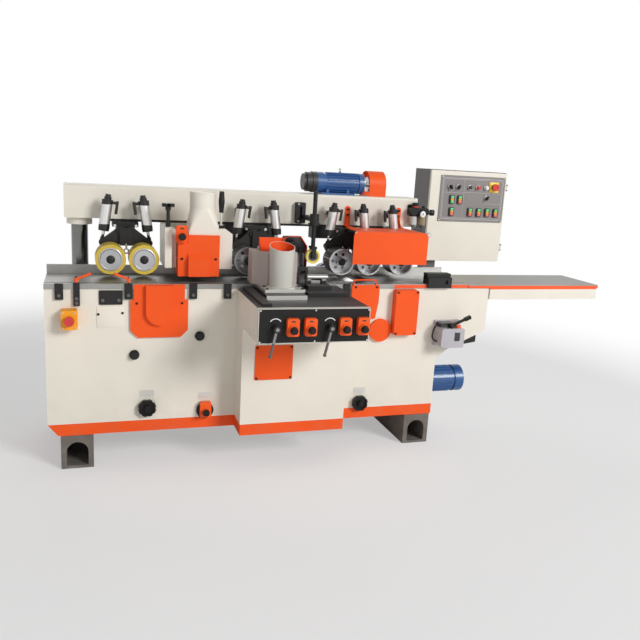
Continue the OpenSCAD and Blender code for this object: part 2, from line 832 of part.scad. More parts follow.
module feed_motor() {
    mx0 = 1345;
    mx1 = 1642;
    r = 57;
    z = beam_z1 + 62;
    color("steelblue") place() {
        translate([mx1, beam_mid, z]) rotate([0, -90, 0]) motor_body(mx1 - mx0, r);
        block([mx0 + 50, beam_mid - 62, beam_z1], [mx1 - 60, beam_mid + 62, beam_z1 + 10]);
        for (x = [mx0 + 80, mx1 - 100])
            block([x, beam_mid - 40, beam_z1 + 9], [x + 16, beam_mid + 40, z - 30]);
        bar_x(mx0 - 46, mx0 + cut, beam_mid, z, 44);
        bar_x(mx0 - 30, mx0 + cut, beam_mid, z, r - 5);
        bar_x(mx1 - 1, mx1 + 70, beam_mid, z, 14);
        bar_x(mx1 + 30, mx1 + 66, beam_mid, z, 40);
        block([mx0 + 110, beam_mid + 40, z - 20], [mx0 + 200, beam_mid + 88, z + 42]);
        translate([mx0 + 165, beam_mid, z + r - 8]) cylinder(h = 10, r = 8);
        translate([mx0 + 165, beam_mid, z + r + 12]) rotate([0, 90, 0])
            rotate_extrude() translate([10, 0]) circle(3);
    }
}

// Guard over the infeed rollers and the cowl of the feed drive
module beam_guards() {
    gx0 = 1467;
    gx1 = 1883;
    gy0 = 40;
    gz0 = table_z + 94;
    gz1 = table_z + 260;
    t = 3;
    strap_half = 15;
    strap_z = beam_z0 + 90;
    cowl_r = 74;
    cowl_z = beam_z1 + 62;
    color("orangered") place() {
        along_y(gy0, gy0 + t) {
            translate([gx0, gz0]) round_rect(gx1 - gx0, gz1 - gz0, 26);
            translate([gx0, gz0]) square([gx1 - gx0, (gz1 - gz0) / 2]);
        }
        block([gx0 + 26, gy0 + 1, gz1 - t], [gx1 - 26, 246, gz1]);
        for (x = [gx0 + 72, gx1 - 43]) {
            block([x - strap_half, 240, gz1 - t], [x + strap_half, beam_y, gz1]);
            along_y(beam_y - 5, beam_y) {
                translate([x - strap_half, gz1 - t]) square([2 * strap_half, strap_z - gz1 + t]);
                translate([x, strap_z]) circle(strap_half);
            }
        }
        // Gusset of the right strap
        along_x(gx1 - 43 - t / 2, gx1 - 43 + t / 2)
            polygon([[beam_y - 60, gz1 - cut], [beam_y - 4, gz1 - cut], [beam_y - 4, gz1 + 62]]);
        along_x(1662, 1760) difference() {
            union() {
                translate([beam_mid, cowl_z]) circle(cowl_r);
                translate([beam_mid - cowl_r, beam_z1]) square([2 * cowl_r, 62]);
            }
            translate([beam_mid, cowl_z]) circle(cowl_r - t);
            translate([beam_mid - cowl_r + t, beam_z1 - cut]) square([2 * (cowl_r - t), 62 + cut]);
            translate([beam_mid - cowl_r - cut, beam_z1 - 200]) square([2 * cowl_r + 2 * cut, 200]);
        }
    }
}

module air_service_unit() {
    x0 = beam_x1 - 60;
    z0 = beam_z0 + 72;
    y = beam_y - 30;
    color("black") place() {
        block([x0, beam_y - 6, z0 - 10], [x0 + 50, beam_y, z0 + 50]);
        along_y(beam_y - 58, beam_y - 5) translate([x0, z0]) round_rect(104, 38, 6);
        for (x = [x0 + 24, x0 + 76]) {
            bar_z(x, y, z0 - 58, z0 + cut, 23);
            bar_z(x, y, z0 - 66, z0 - 57, 9);
        }
        bar_z(x0 + 34, y, z0 + 37, z0 + 42, 14);
        bar_z(x0 + 34, y, z0 + 41, z0 + 66, 18);
        bar_z(x0 + 84, y, z0 + 37, z0 + 50, 9);
        bar_y(x0 + 64, z0 + 6, beam_y - 72, beam_y - 57, 19);
        bar_x(x0 + 103, x0 + 140, y, z0 + 14, 11);
        bar_x(x0 + 128, x0 + 148, y, z0 + 14, 17);
    }
}

// Bracket, rod and fork of the sprung press wheel
module hold_down_stand() {
    fork_in = 9;
    wheel_w = 26;
    color("black") place() {
        difference() {
            along_y(beam_y - 30, beam_y) translate([press_x - 50, beam_z0 + 5]) round_rect(52, 110, 5);
            along_y(beam_y - 31, beam_y - 12) translate([press_x - 30, beam_z0 + 25]) round_rect(12, 70, 5);
        }
        block([press_x - 16, press_y, beam_z0 + 30], [press_x + 16, beam_y - 28, beam_z0 + 52]);
        bar_z(press_x, press_y, beam_z0 + 12, beam_z0 + 70, 24);
        bar_z(press_x, press_y, press_z + press_r + 6, beam_z1 + 22, 11);
        bar_x(press_x - 30, press_x + 30, press_y, beam_z0 + 18, 7);
        block([press_x - 14, press_y - 30, press_z + press_r + 4],
            [press_x + 14, press_y + 30, press_z + press_r + 14]);
        for (s = [-1, 1]) translate([press_x - 10, press_y + s * 24 - 5, press_z - 12])
            cube([20, 10, press_r + 22]);
        bar_y(press_x, press_z, press_y - 24, press_y + 24, fork_in);
        bar_y(press_x, press_z, press_y - wheel_w / 2 - 6 + gap, press_y - wheel_w / 2 - gap, fork_in + 3);
        bar_y(press_x, press_z, press_y + wheel_w / 2 + gap, press_y + wheel_w / 2 + 6 - gap, fork_in + 3);
    }
}

module press_wheel() {
    color("gold") place() difference() {
        bar_y(press_x, press_z, press_y - 13, press_y + 13, press_r);
        bar_y(press_x, press_z, press_y - 14, press_y + 14, 9 + fit);
        for (y = [[-14, -8], [8, 14]]) difference() {
            bar_y(press_x, press_z, press_y + y[0], press_y + y[1], press_r - 10);
            bar_y(press_x, press_z, press_y - 15, press_y + 15, 15);
        }
    }
}

// One pressure arm: hub on the hanger's pin, boss round the roller shaft, lug with the cylinder rod
module pressure_arm(i) {
    s = roller_side[i];
    hub_r = 20;
    boss_r = 29;
    lug_r = 15;
    lug_out = lug_outs[i];
    dx = roller_x(i) - pivot_x(i);
    dz = roller_z - pivot_z;
    color("dimgray") place() translate([pivot_x(i), 0, pivot_z]) {
        difference() {
            along_y(arm_y0, arm_y1) {
                circle(hub_r);
                translate([dx, dz]) circle(boss_r);
                translate([s * lug_out, -lug_drop]) circle(lug_r);
                polygon([[-s * 18, 6], [s * 18, 8], [s * lug_out, -lug_drop + 15],
                    [s * (lug_out + 12), -lug_drop - 9], [dx + s * 25, dz + 12], [dx - s * 28, dz]]);
            }
            bar_y(0, 0, arm_y0 - cut, arm_y1 + cut, pivot_d / 2 + fit);
            bar_y(dx, dz, arm_y0 - cut, arm_y1 + cut, shaft_d / 2 + fit);
        }
        translate([s * lug_out, arm_y, -lug_drop]) rotate([0, -s * lean, 0]) {
            cylinder(h = gland_up + rod_in, r = rod_r);
            cylinder(h = 26, r = rod_r + 4);
        }
    }
}

// Toothed rim of a steel feed roller
module knurled_disc(r) {
    teeth = 36;
    depth = 3;
    polygon([for (i = [0 : 2 * teeth - 1])
        let (a = i * 180 / teeth, q = i % 2 == 0 ? r : r - depth) [q * cos(a), q * sin(a)]]);
}

module feed_roller(i) {
    soft = i < 2;
    hub_r = 22;
    rim = soft ? 16 : 9;
    sink = soft ? 14 : 42;
    back = roller_y + roller_w;
    color(soft ? "gold" : "silver") place() translate([roller_x(i), 0, roller_z]) {
        difference() {
            if (soft) bar_y(0, 0, roller_y, back, roller_r);
            else along_y(roller_y, back) knurled_disc(roller_r);
            difference() {
                bar_y(0, 0, roller_y - cut, roller_y + sink, roller_r - rim);
                bar_y(0, 0, roller_y - 2 * cut, roller_y + sink + cut, hub_r);
            }
            if (!soft) for (a = [0 : 60 : 300]) rotate([0, a, 0])
                bar_y(38, 0, roller_y, back + cut, 8);
        }
        bar_y(0, 0, back - cut, arm_y0 - gap, shaft_d / 2 + 7);
        bar_y(0, 0, back - cut, arm_y1 + 6, shaft_d / 2);
    }
}

// Top head

module top_carriage() {
    half = cover_w / 2;
    color("ivory") place() difference() {
        union() {
            along_x(top_x - half - 58, top_x - half - 26) translate([cheek_y0, arm_z0])
                round_rect(cheek_y1 - cheek_y0, cheek_z1 - arm_z0, 10);
            block([top_x - half - 30, cheek_y0 + 35, arm_z0], [top_x - half - 2, cheek_y1, cheek_z1 - 14]);
            translate([top_x + half, 0, 0]) along_y(cheek_y0, cheek_y1) polygon([[2, arm_z0],
                [7 + cheek_w, arm_z0], [7 + cheek_w, cheek_z1 - 25], [32, cheek_z1], [2, cheek_z1]]);
            block([top_x - half - 8, top_y1, arm_z0], [top_x + half + 8, motor_y0, arm_z1 - 5]);
            block([top_x - 72, cheek_y1 - 30, spine_z0], [top_x + 72, post_y0 - gap, spine_z1]);
            block([top_x - 90, motor_y1 + 5, table_z + 10], [top_x + 90, post_y0 - gap, spine_z1 + 60]);
            // Threaded rod and star knob that clamp the hood
            bar_z(top_x - half - 42, lever_y + 8, cheek_z1 - cut, cheek_z1 + 82, 8);
            bar_z(top_x - half - 42, lever_y + 8, cheek_z1 - cut, cheek_z1 + 22, 12);
            bar_z(top_x - half - 42, lever_y + 8, cheek_z1 + 79, cheek_z1 + 96, 13);
            for (a = [0 : 60 : 120]) translate([top_x - half - 42, lever_y + 8, cheek_z1 + 95])
                rotate(a) translate([-29, -7, 0]) cube([58, 14, 16]);
            // Ear and pin of the lock lever
            block([lever_x + 17, lever_y - 10, cheek_z1 - cut], [lever_x + 25, lever_y + 10, lever_z + 9]);
            bar_x(lever_x - 2, lever_x + 18, lever_y, lever_z, 5);
        }
        bar_y(top_x, top_z, top_y1 - cut, motor_y0 + cut, spindle_r + fit);
    }
}

module top_lock_lever() {
    color("black") place() difference() {
        union() {
            bar_x(lever_x, lever_x + 16, lever_y, lever_z, 9);
            bar_z(lever_x + 8, lever_y, lever_z + 6, lever_z + 70, 5.5);
            bar_z(lever_x + 8, lever_y, lever_z + 66, lever_z + 76, 11);
            translate([lever_x + 8, lever_y, lever_z + 75]) cylinder(h = 46, r1 = 11, r2 = 15);
            translate([lever_x + 8, lever_y, lever_z + 121]) cylinder(h = 46, r1 = 15, r2 = 11);
        }
        bar_x(lever_x - 1, lever_x + 17, lever_y, lever_z, 5 + fit);
    }
}

module top_motor() {
    color("steelblue") place() difference() {
        translate([top_x, motor_y0, top_z]) rotate([-90, 0, 0]) motor_body(motor_y1 - motor_y0, motor_r);
        bar_y(top_x, top_z, motor_y0 - cut, motor_y0 + 82, spindle_r + fit);
    }
}

module top_cutterhead() {
    color("silver") place() {
        translate([top_x, top_y0 + 15, top_z]) rotate([-90, 0, 0]) cutter(130);
        bar_y(top_x, top_z, top_y0 + 8, motor_y0 + 75, spindle_r);
    }
}

// Half sizes of the hood's mouth on the cover
hood_half_x = 72;
hood_half_y = 66;

module top_hood() {
    t = 3;
    r = spigot_d / 2;
    color("ivory") place() translate([hood_x, hood_y, 0]) {
        difference() {
            hull() {
                translate([-hood_half_x, -hood_half_y, cover_z1])
                    cube([2 * hood_half_x, 2 * hood_half_y, 14]);
                translate([0, 0, hood_z1 - 1]) cylinder(h = 1, r = r - 1.2, $fn = 32);
            }
            hull() {
                translate([t - hood_half_x, t - hood_half_y, cover_z1 - cut])
                    cube([2 * hood_half_x - 2 * t, 2 * hood_half_y - 2 * t, 14]);
                translate([0, 0, hood_z1]) cylinder(h = 1, r = r - t - 1.2, $fn = 32);
            }
        }
        difference() {
            translate([0, 0, hood_z1 - cut]) cylinder(h = spigot_z1 - hood_z1 + cut, r = r);
            translate([0, 0, hood_z1 - 5]) cylinder(h = spigot_z1 - hood_z1 + 6, r = r - t);
        }
    }
}

module top_hood_cover() {
    t = 3;
    half = cover_w / 2;
    notch_w = 46;
    notch_h = 36;
    notch_d = 20;
    count_x = top_x - half + 14;
    color("orangered") place() {
        difference() {
            union() {
                block([top_x - half, top_y0, cover_z0], [top_x + half, top_y1, cover_z1]);
                // Spout low on the front
                along_x(top_x - 52, top_x + 48) polygon([[top_y0 + 1, cover_z0 + 112],
                    [top_y0 - 24, cover_z0 + 80], [top_y0 - 24, cover_z0 + 2], [top_y0 + 1, cover_z0 + 2]]);
            }
            difference() {
                block([top_x - half + t, top_y0 + t, cover_z0 - cut],
                    [top_x + half - t, top_y1 + cut, cover_z1 - t]);
                block([top_x - half - cut, top_y0 - cut, cover_z1 - notch_h - t],
                    [top_x - half + notch_w + t, top_y0 + notch_d + t, cover_z1 + cut]);
            }
            block([top_x - half - cut, top_y0 - cut, cover_z1 - notch_h],
                [top_x - half + notch_w, top_y0 + notch_d, cover_z1 + cut]);
            block([hood_x - hood_half_x + t, hood_y - hood_half_y + t + 20, cover_z1 - 2 * t],
                [hood_x + hood_half_x - t, hood_y + hood_half_y - t, cover_z1 + cut]);
        }
        // Counter in the notch
        counter(count_x, cover_z1 + 6, top_y0);
        block([count_x - 12, top_y0 - 1, cover_z1 - notch_h + 4],
            [count_x + 20, top_y0 + notch_d + 1, cover_z1 - 4]);
    }
}

// Side head

module side_slide() {
    half = 95;
    color("silver") place() difference() {
        union() {
            block([side_x - half, slide_y0, slide_z0], [side_x + half, side_y, slide_z1]);
            bar_z(side_x, side_y, quill_z0, slide_z1, quill_r);
        }
        bar_z(side_x, side_y, quill_z0 - cut, slide_z1 + cut, spindle_r + fit);
        bar_z(side_x, side_y, table_z + 2, slide_z1 + cut, cutter_r + 3);
    }
}

module side_cutterhead() {
    color("silver") place() {
        translate([side_x, side_y, table_z + 4]) cutter(114);
        bar_z(side_x, side_y, quill_z0 - 14, table_z + 126, spindle_r);
        bar_z(side_x, side_y, quill_z0 - 14, quill_z0 - gap, spindle_r + 12);
    }
}

module side_hood() {
    t = 3;
    r = outlet_d / 2;
    x0 = side_x - 125;
    x1 = side_x + 80;
    y0 = -108;
    y1 = 30;
    z0 = slide_z1 + 1;
    z1 = table_z + 169;
    tilt = 15;
    pipe_h = outlet_z1 + 30 - slide_z1;
    color("gray") place() {
        difference() {
            union() {
                translate([0, 0, z0]) linear_extrude(z1 - z0)
                    polygon([[x0, y1], [x0, -58], [side_x - 66, -124], [side_x + 56, -124],
                        [x1, y0], [x1, y1]]);
                bar_z(side_x - 6, outlet_y, slide_z1, slide_z1 + 7, r + 8);
                translate([side_x - 6, outlet_y, slide_z1]) cylinder(h = pipe_h, r1 = r - 5, r2 = r + 2);
            }
            translate([0, 0, z0 - cut]) linear_extrude(z1 - z0 - t + cut)
                polygon([[x0 + t, y1 + cut], [x0 + t, t - 58], [side_x - 64, t - 124],
                    [side_x + 54, t - 124], [x1 - t, y0 + t], [x1 - t, y1 + cut]]);
            translate([side_x - 6, outlet_y, slide_z1 + t])
                cylinder(h = pipe_h, r1 = r - 5 - t, r2 = r + 2 - t);
            // Slanted mouth of the outlet
            translate([side_x - 6, outlet_y, outlet_z1]) rotate([tilt, 0, 0]) translate([-200, -200, 0])
                cube([400, 400, 100]);
        }
        // Deflector behind the outlet
        difference() {
            along_x(side_x - 84, side_x + 36)
                polygon([[-62, z1 - cut], [-62, z1 + 2], [-10, z1 + 58], [-4, z1 + 58], [-4, z1 - cut]]);
            along_x(side_x - 81, side_x + 33)
                polygon([[-64, z1 + t], [-64, z1 + 70], [-7, z1 + 70], [-7, z1 + t]]);
        }
    }
}

// Heads on the base

module fence_cutterhead() {
    color("silver") place() {
        translate([fence_head_x, fence_head_y, table_z + 4]) cutter(104);
        bar_z(fence_head_x, fence_head_y, deck_z - sheet_t - 55, table_z + 118, spindle_r);
    }
}

module bottom_cutterhead() {
    color("silver") place() {
        translate([bottom_x, 80, bottom_z]) rotate([-90, 0, 0]) cutter(200);
        bar_y(bottom_x, bottom_z, 70, motor_y0 + 36, spindle_r);
    }
}

module infeed_table() {
    rib = 12;
    z1 = table_z - cut_depth;
    color("silver") place() {
        block([infeed_x0, table_y0, deck_z], [infeed_x1, infeed_y1, z1]);
        difference() {
            block([wing_x + 5, table_y0, deck_z - 62], [infeed_x1 - 8, infeed_y1, deck_z + cut]);
            block([wing_x + 5 + rib, table_y0 + rib, deck_z - 63],
                [infeed_x1 - 8 - rib, infeed_y1 - rib, deck_z]);
        }
    }
}

// Levers and wheels

module lock_lever(i) {
    hub_r = 15;
    y0 = panel_y0 - 38;
    y1 = panel_y0 - gap;
    color("silver") place() translate([lock_xs[i], 0, lock_z]) difference() {
        union() {
            bar_y(0, 0, y0, y1, hub_r);
            rotate([0, 12, 0]) {
                bar_z(0, y0 + 9, -122, -8, 6);
                translate([0, y0 + 9, -122]) sphere(8);
            }
        }
        bar_y(0, 0, y0 - cut, y1 + cut, lock_pin_r + fit);
    }
}
module lock_lever_left() {
    lock_lever(0);
}
module lock_lever_right() {
    lock_lever(1);
}

// A clamp lever on an upright pin, its grip rising towards the given side
module clamp_lever(x, side) {
    color("orangered") place() translate([x, table_y0 - 4.5, table_z + 9])
        rotate(side > 0 ? 0 : 180) difference() {
        union() {
            cylinder(h = 20, r = 9);
            translate([0, 0, 14]) rotate([0, 68, 0]) cylinder(h = 62, r = 6);
            translate([62 * sin(68), 0, 14 + 62 * cos(68)]) sphere(7);
        }
        translate([0, 0, -cut]) cylinder(h = 22 + cut, r = 4 + fit);
    }
}
module clamp_lever_left() {
    clamp_lever(long_clamp_x + 14, 1);
}
module clamp_lever_right() {
    clamp_lever(clamp_xs[1] + 18, -1);
}

// A round adjusting wheel with finger scallops
module handwheel(p) {
    scallops = 8;
    color("black") place() translate([p[0], 0, p[1]]) difference() {
        union() {
            bar_y(0, 0, -30, -gap, 16);
            bar_y(0, 0, -26, -8, wheel_r);
        }
        for (a = [0 : 360 / scallops : 359]) rotate([0, a, 0]) bar_y(wheel_r + 5, 0, -27, -7, 9);
        bar_y(0, 0, -31, 1, wheel_pin_r + fit);
        difference() {
            bar_y(0, 0, -27, -20, wheel_r - 10);
            bar_y(0, 0, -28, -19, 18);
        }
    }
}
module handwheel_left() {
    handwheel(wheel_places[0]);
}
module handwheel_right() {
    handwheel(wheel_places[1]);
}

machine_feet();
base_sill();
base_cabinet();
front_covers();
control_box();
control_panel();
position_counters();
table_clamps();
work_table();
guide_fence();
guide_columns();
base_motors();
electric_cabinet();
stop_box();
lube_pump();
feed_beam();
hanger_rail();
air_cylinders();
feed_motor();
beam_guards();
air_service_unit();
hold_down_stand();
pressure_arm(0);  // pressure_arm_1
pressure_arm(1);  // pressure_arm_2
pressure_arm(2);  // pressure_arm_3
pressure_arm(3);  // pressure_arm_4
pressure_arm(4);  // pressure_arm_5
pressure_arm(5);  // pressure_arm_6
pressure_arm(6);  // pressure_arm_7
feed_roller(0);  // feed_roller_1
feed_roller(1);  // feed_roller_2
feed_roller(2);  // feed_roller_3
feed_roller(3);  // feed_roller_4
feed_roller(4);  // feed_roller_5
feed_roller(5);  // feed_roller_6
feed_roller(6);  // feed_roller_7
top_carriage();
top_hood();
top_hood_cover();
top_motor();
top_cutterhead();
top_lock_lever();
side_slide();
side_hood();
side_cutterhead();
fence_cutterhead();
bottom_cutterhead();
infeed_table();
cabinet_door();
switch_panel();
main_stop_button();
side_stop_button();
lock_lever_left();
lock_lever_right();
clamp_lever_left();
clamp_lever_right();
press_wheel();
pump_lever();
handwheel_left();
handwheel_right();
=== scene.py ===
"""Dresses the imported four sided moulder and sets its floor, light and camera.

Sizes and places in the classes are millimetres from the left front corner of the base cabinet, on
the floor: +X towards the infeed end, -Y towards the operator, +Z up. Meshes are written in the
shared frame, in metres.
"""

import json
import logging
import math
from collections.abc import Sequence
from dataclasses import dataclass, field
from enum import Enum

import bmesh
import bpy
from mathutils import Matrix, Vector

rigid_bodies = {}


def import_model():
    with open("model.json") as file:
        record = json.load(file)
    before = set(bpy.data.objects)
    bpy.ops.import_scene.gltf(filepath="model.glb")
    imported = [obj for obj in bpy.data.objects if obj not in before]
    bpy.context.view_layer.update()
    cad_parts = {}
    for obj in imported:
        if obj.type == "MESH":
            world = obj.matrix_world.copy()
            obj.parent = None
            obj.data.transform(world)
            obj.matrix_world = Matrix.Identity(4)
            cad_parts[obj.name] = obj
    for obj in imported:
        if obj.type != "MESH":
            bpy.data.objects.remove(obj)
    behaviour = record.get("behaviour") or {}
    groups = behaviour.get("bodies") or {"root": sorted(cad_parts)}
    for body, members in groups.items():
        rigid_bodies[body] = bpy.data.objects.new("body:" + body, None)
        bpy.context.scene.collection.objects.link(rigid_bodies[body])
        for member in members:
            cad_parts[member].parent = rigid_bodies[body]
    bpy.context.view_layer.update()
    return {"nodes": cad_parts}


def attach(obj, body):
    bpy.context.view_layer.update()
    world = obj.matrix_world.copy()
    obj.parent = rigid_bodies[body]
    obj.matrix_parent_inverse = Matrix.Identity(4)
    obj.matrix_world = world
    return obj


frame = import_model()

CORNER_X = 1010.0
CORNER_Y = 350.0
MM = 0.001
FAR = 9000.0
EDGE_STEPS = 2
EDGE_ANGLE = 0.6
SHARP_ANGLE = math.radians(32.0)

Point = tuple[float, float, float]
Flat = tuple[float, float]
Colour = tuple[float, float, float]

TO_OPERATOR: Point = (0.0, -1.0, 0.0)
TO_BACK: Point = (0.0, 1.0, 0.0)
UP: Point = (0.0, 0.0, 1.0)
WHITE = (1.0, 1.0, 1.0, 1.0)

log = logging.getLogger("moulder")


def place(point: Sequence[float]) -> Vector:
    """Turns a place in machine millimetres into the shared frame.

    Args:
        point: x, y and z from the cabinet's left front corner.

    Returns:
        The same place in metres.
    """
    return Vector(((point[0] - CORNER_X) * MM, (point[1] - CORNER_Y) * MM, point[2] * MM))


# Node trees


class Value:
    """A socket that takes part in Python expressions, which add Math nodes to its tree."""

    def __init__(self, graph: "Graph", socket: bpy.types.NodeSocket) -> None:
        """Keeps the tree and the socket."""
        self.graph = graph
        self.socket = socket

    def math(self, operation: str, *others: "Value | float") -> "Value":
        """Adds one Math node.

        Args:
            operation: the node's operation.
            others: the sockets or numbers after this one.

        Returns:
            The node's result.
        """
        sockets = dict(enumerate((self, *others)))
        return self.graph.node("ShaderNodeMath", {"operation": operation}, sockets)

    def __add__(self, other: "Value | float") -> "Value":
        """Sum."""
        return self.math("ADD", other)

    __radd__ = __add__

    def __mul__(self, other: "Value | float") -> "Value":
        """Product."""
        return self.math("MULTIPLY", other)

    __rmul__ = __mul__

    def __sub__(self, other: "Value | float") -> "Value":
        """Difference."""
        return self.math("SUBTRACT", other)

    def __rsub__(self, other: float) -> "Value":
        """Difference from a number."""
        return self.graph.node("ShaderNodeMath", {"operation": "SUBTRACT"}, {0: other, 1: self})

    def __gt__(self, other: "Value | float") -> "Value":
        """1 where this is the larger."""
        return self.math("GREATER_THAN", other)

    def __lt__(self, other: "Value | float") -> "Value":
        """1 where this is the smaller."""
        return self.math("LESS_THAN", other)

    def band(self, low: float, high: float) -> "Value":
        """1 between two levels."""
        return (self > low) * (self < high)

    def ramp(self, low: float, high: float) -> "Value":
        """Rises smoothly from 0 at one level to 1 at another."""
        sockets = {0: self, 1: low, 2: high, 3: 0.0, 4: 1.0}
        return self.graph.node("ShaderNodeMapRange", {"interpolation_type": "SMOOTHSTEP"}, sockets)


class Graph:
    """A node tree that is written as calls."""

    def __init__(self, tree: bpy.types.NodeTree) -> None:
        """Keeps the tree."""
        self.tree = tree

    def node(self, kind: str, settings: dict | None = None, sockets: dict | None = None,
             out: int | str = 0) -> Value:
        """Adds a node.

        Args:
            kind: the node's type.
            settings: attributes that are set first.
            sockets: numbers, colours or values by input name or index.
            out: the output to hand back.

        Returns:
            That output.
        """
        made = self.tree.nodes.new(kind)
        for name, setting in (settings or {}).items():
            setattr(made, name, setting)
        for key, given in (sockets or {}).items():
            if isinstance(given, Value):
                self.tree.links.new(given.socket, made.inputs[key])
            else:
                made.inputs[key].default_value = given
        return Value(self, made.outputs[out] if len(made.outputs) else None)

    def other(self, value: Value, out: int | str) -> Value:
        """Another output of the node that a value comes from."""
        return Value(self, value.socket.node.outputs[out])

    def where(self) -> Value:
        """Object coordinates."""
        return self.node("ShaderNodeTexCoord", {}, {}, "Object")

    def axes(self, vector: Value) -> list[Value]:
        """The x, y and z of a vector."""
        first = self.node("ShaderNodeSeparateXYZ", {}, {0: vector})
        return [first, self.other(first, 1), self.other(first, 2)]

    def blend(self, mask: Value, first: Value | Colour, second: Value | Colour) -> Value:
        """Mixes two colours.

        Args:
            mask: 0 for the first, 1 for the second.
            first: a colour or a colour socket.
            second: a colour or a colour socket.

        Returns:
            The mixed colour.
        """
        pair = [(*c, 1.0) if isinstance(c, tuple) else c for c in (first, second)]
        sockets = {0: mask, 6: pair[0], 7: pair[1]}
        return self.node("ShaderNodeMix", {"data_type": "RGBA"}, sockets, 2)

    def scaled(self, vector: Value, factors: Point) -> Value:
        """Stretches a coordinate along the axes."""
        sockets = {0: vector, 1: factors}
        return self.node("ShaderNodeVectorMath", {"operation": "MULTIPLY"}, sockets)


# Finishes


@dataclass(frozen=True)
class Texture:
    """Noise on a surface: how dense, detailed and high it is, and how it is stretched."""

    scale: float
    detail: float
    height: float = 1.0
    stretch: Point | None = None

    def noise(self, graph: Graph, where: Value) -> Value:
        """Adds the noise.

        Args:
            graph: the material's tree.
            where: object coordinates.

        Returns:
            Noise from 0 to 1.
        """
        vector = graph.scaled(where, self.stretch) if self.stretch else where
        sockets = {"Vector": vector, "Scale": self.scale, "Detail": self.detail}
        return graph.node("ShaderNodeTexNoise", {}, sockets)


MOTTLE = Texture(5.0, 4.0)
MOTTLE_SHARE = 0.7
MOTTLE_EDGE = (0.32, 0.68)
WEAR_DEPTH = 2.2
ROUGH_SWING = 0.16
DUST = Texture(18.0, 5.0)
DUST_EDGE = (0.35, 0.75)
DUST_TOP = (0.02, 0.55)
DUST_COLOUR = (0.33, 0.29, 0.24)
DUST_ROUGHNESS = 0.3
BUMP_STRENGTH = 0.35
BUMP_DISTANCE = 0.0004
CLEAR_ROUGHNESS = 0.12


class Grain(Enum):
    """What a surface looks like close up."""

    PAINT = Texture(330.0, 2.0, 0.7)
    CAST = Texture(420.0, 4.0, 1.6)
    GROUND = Texture(1.0, 2.0, 0.6, (14.0, 900.0, 900.0))
    TURNED = Texture(1.0, 2.0, 0.5, (700.0, 700.0, 700.0))
    MOULDED = Texture(900.0, 2.0, 0.5)


@dataclass(frozen=True)
class Coat:
    """Colour, gloss and grain of one surface."""

    colour: Colour
    roughness: float
    grain: Grain
    metallic: float = 0.0
    wear: float = 0.03
    clear: float = 0.0
    shine: float = 0.5

    def layers(self, graph: Graph, where: Value) -> tuple[Value, Value, Value]:
        """Adds the coat's colour, roughness and height.

        Args:
            graph: the material's tree.
            where: object coordinates.

        Returns:
            Colour, roughness and bump height.
        """
        fine = self.grain.value.noise(graph, where)
        mottle = MOTTLE.noise(graph, where) * MOTTLE_SHARE + fine * (1.0 - MOTTLE_SHARE)
        dark = tuple(c * (1.0 - WEAR_DEPTH * self.wear) for c in self.colour)
        light = tuple(min(1.0, c * (1.0 + self.wear)) for c in self.colour)
        colour = graph.blend(mottle.ramp(*MOTTLE_EDGE), dark, light)
        rough = self.roughness + (mottle - 0.5) * ROUGH_SWING
        return colour, rough, fine * self.grain.value.height


class Shape(Enum):
    """How a zone is bounded."""

    BOX = "box"
    ROUND_Y = "round_y"
    ROUND_Z = "round_z"


@dataclass(frozen=True)
class Zone:
    """A part of a surface with its own coat, bounded by a box or by a round bar and the box."""

    coat: Coat
    low: Point = (-FAR, -FAR, -FAR)
    high: Point = (FAR, FAR, FAR)
    shape: Shape = Shape.BOX
    centre: Flat = (0.0, 0.0)
    radius: float = 0.0
    taper: float = 0.0
    outside: bool = False

    @classmethod
    def above(cls, coat: Coat, level: float) -> "Zone":
        """Everything above a level."""
        return cls(coat, low=(-FAR, -FAR, level))

    @classmethod
    def below(cls, coat: Coat, level: float) -> "Zone":
        """Everything below a level."""
        return cls(coat, high=(FAR, FAR, level))

    def mask(self, graph: Graph, where: Value) -> Value:
        """Adds a mask that is 1 inside the zone.

        Args:
            graph: the material's tree.
            where: object coordinates.

        Returns:
            The mask.
        """
        parts = graph.axes(where)
        masks = []
        ends = zip(parts, place(self.low), place(self.high), self.low, self.high)
        for axis, low_end, high_end, bottom, top in ends:
            if bottom > -FAR or top < FAR:
                masks.append(axis.band(low_end, high_end))
        if self.shape is not Shape.BOX:
            masks.append(self.bar(parts))
        mask = masks[0]
        for following in masks[1:]:
            mask = mask * following
        return mask

    def bar(self, parts: list[Value]) -> Value:
        """Adds a mask that is 1 inside the round bar, or outside it if the zone says so.

        Args:
            parts: x, y and z of the object coordinates.

        Returns:
            The mask.
        """
        first = parts[0] - (self.centre[0] - CORNER_X) * MM
        if self.shape is Shape.ROUND_Y:
            second = parts[2] - self.centre[1] * MM
        else:
            second = parts[1] - (self.centre[1] - CORNER_Y) * MM
        reach = (first * first + second * second).math("SQRT")
        if self.taper:
            reach = reach - (parts[2] - self.low[2] * MM) * self.taper
        return reach > self.radius * MM if self.outside else reach < self.radius * MM


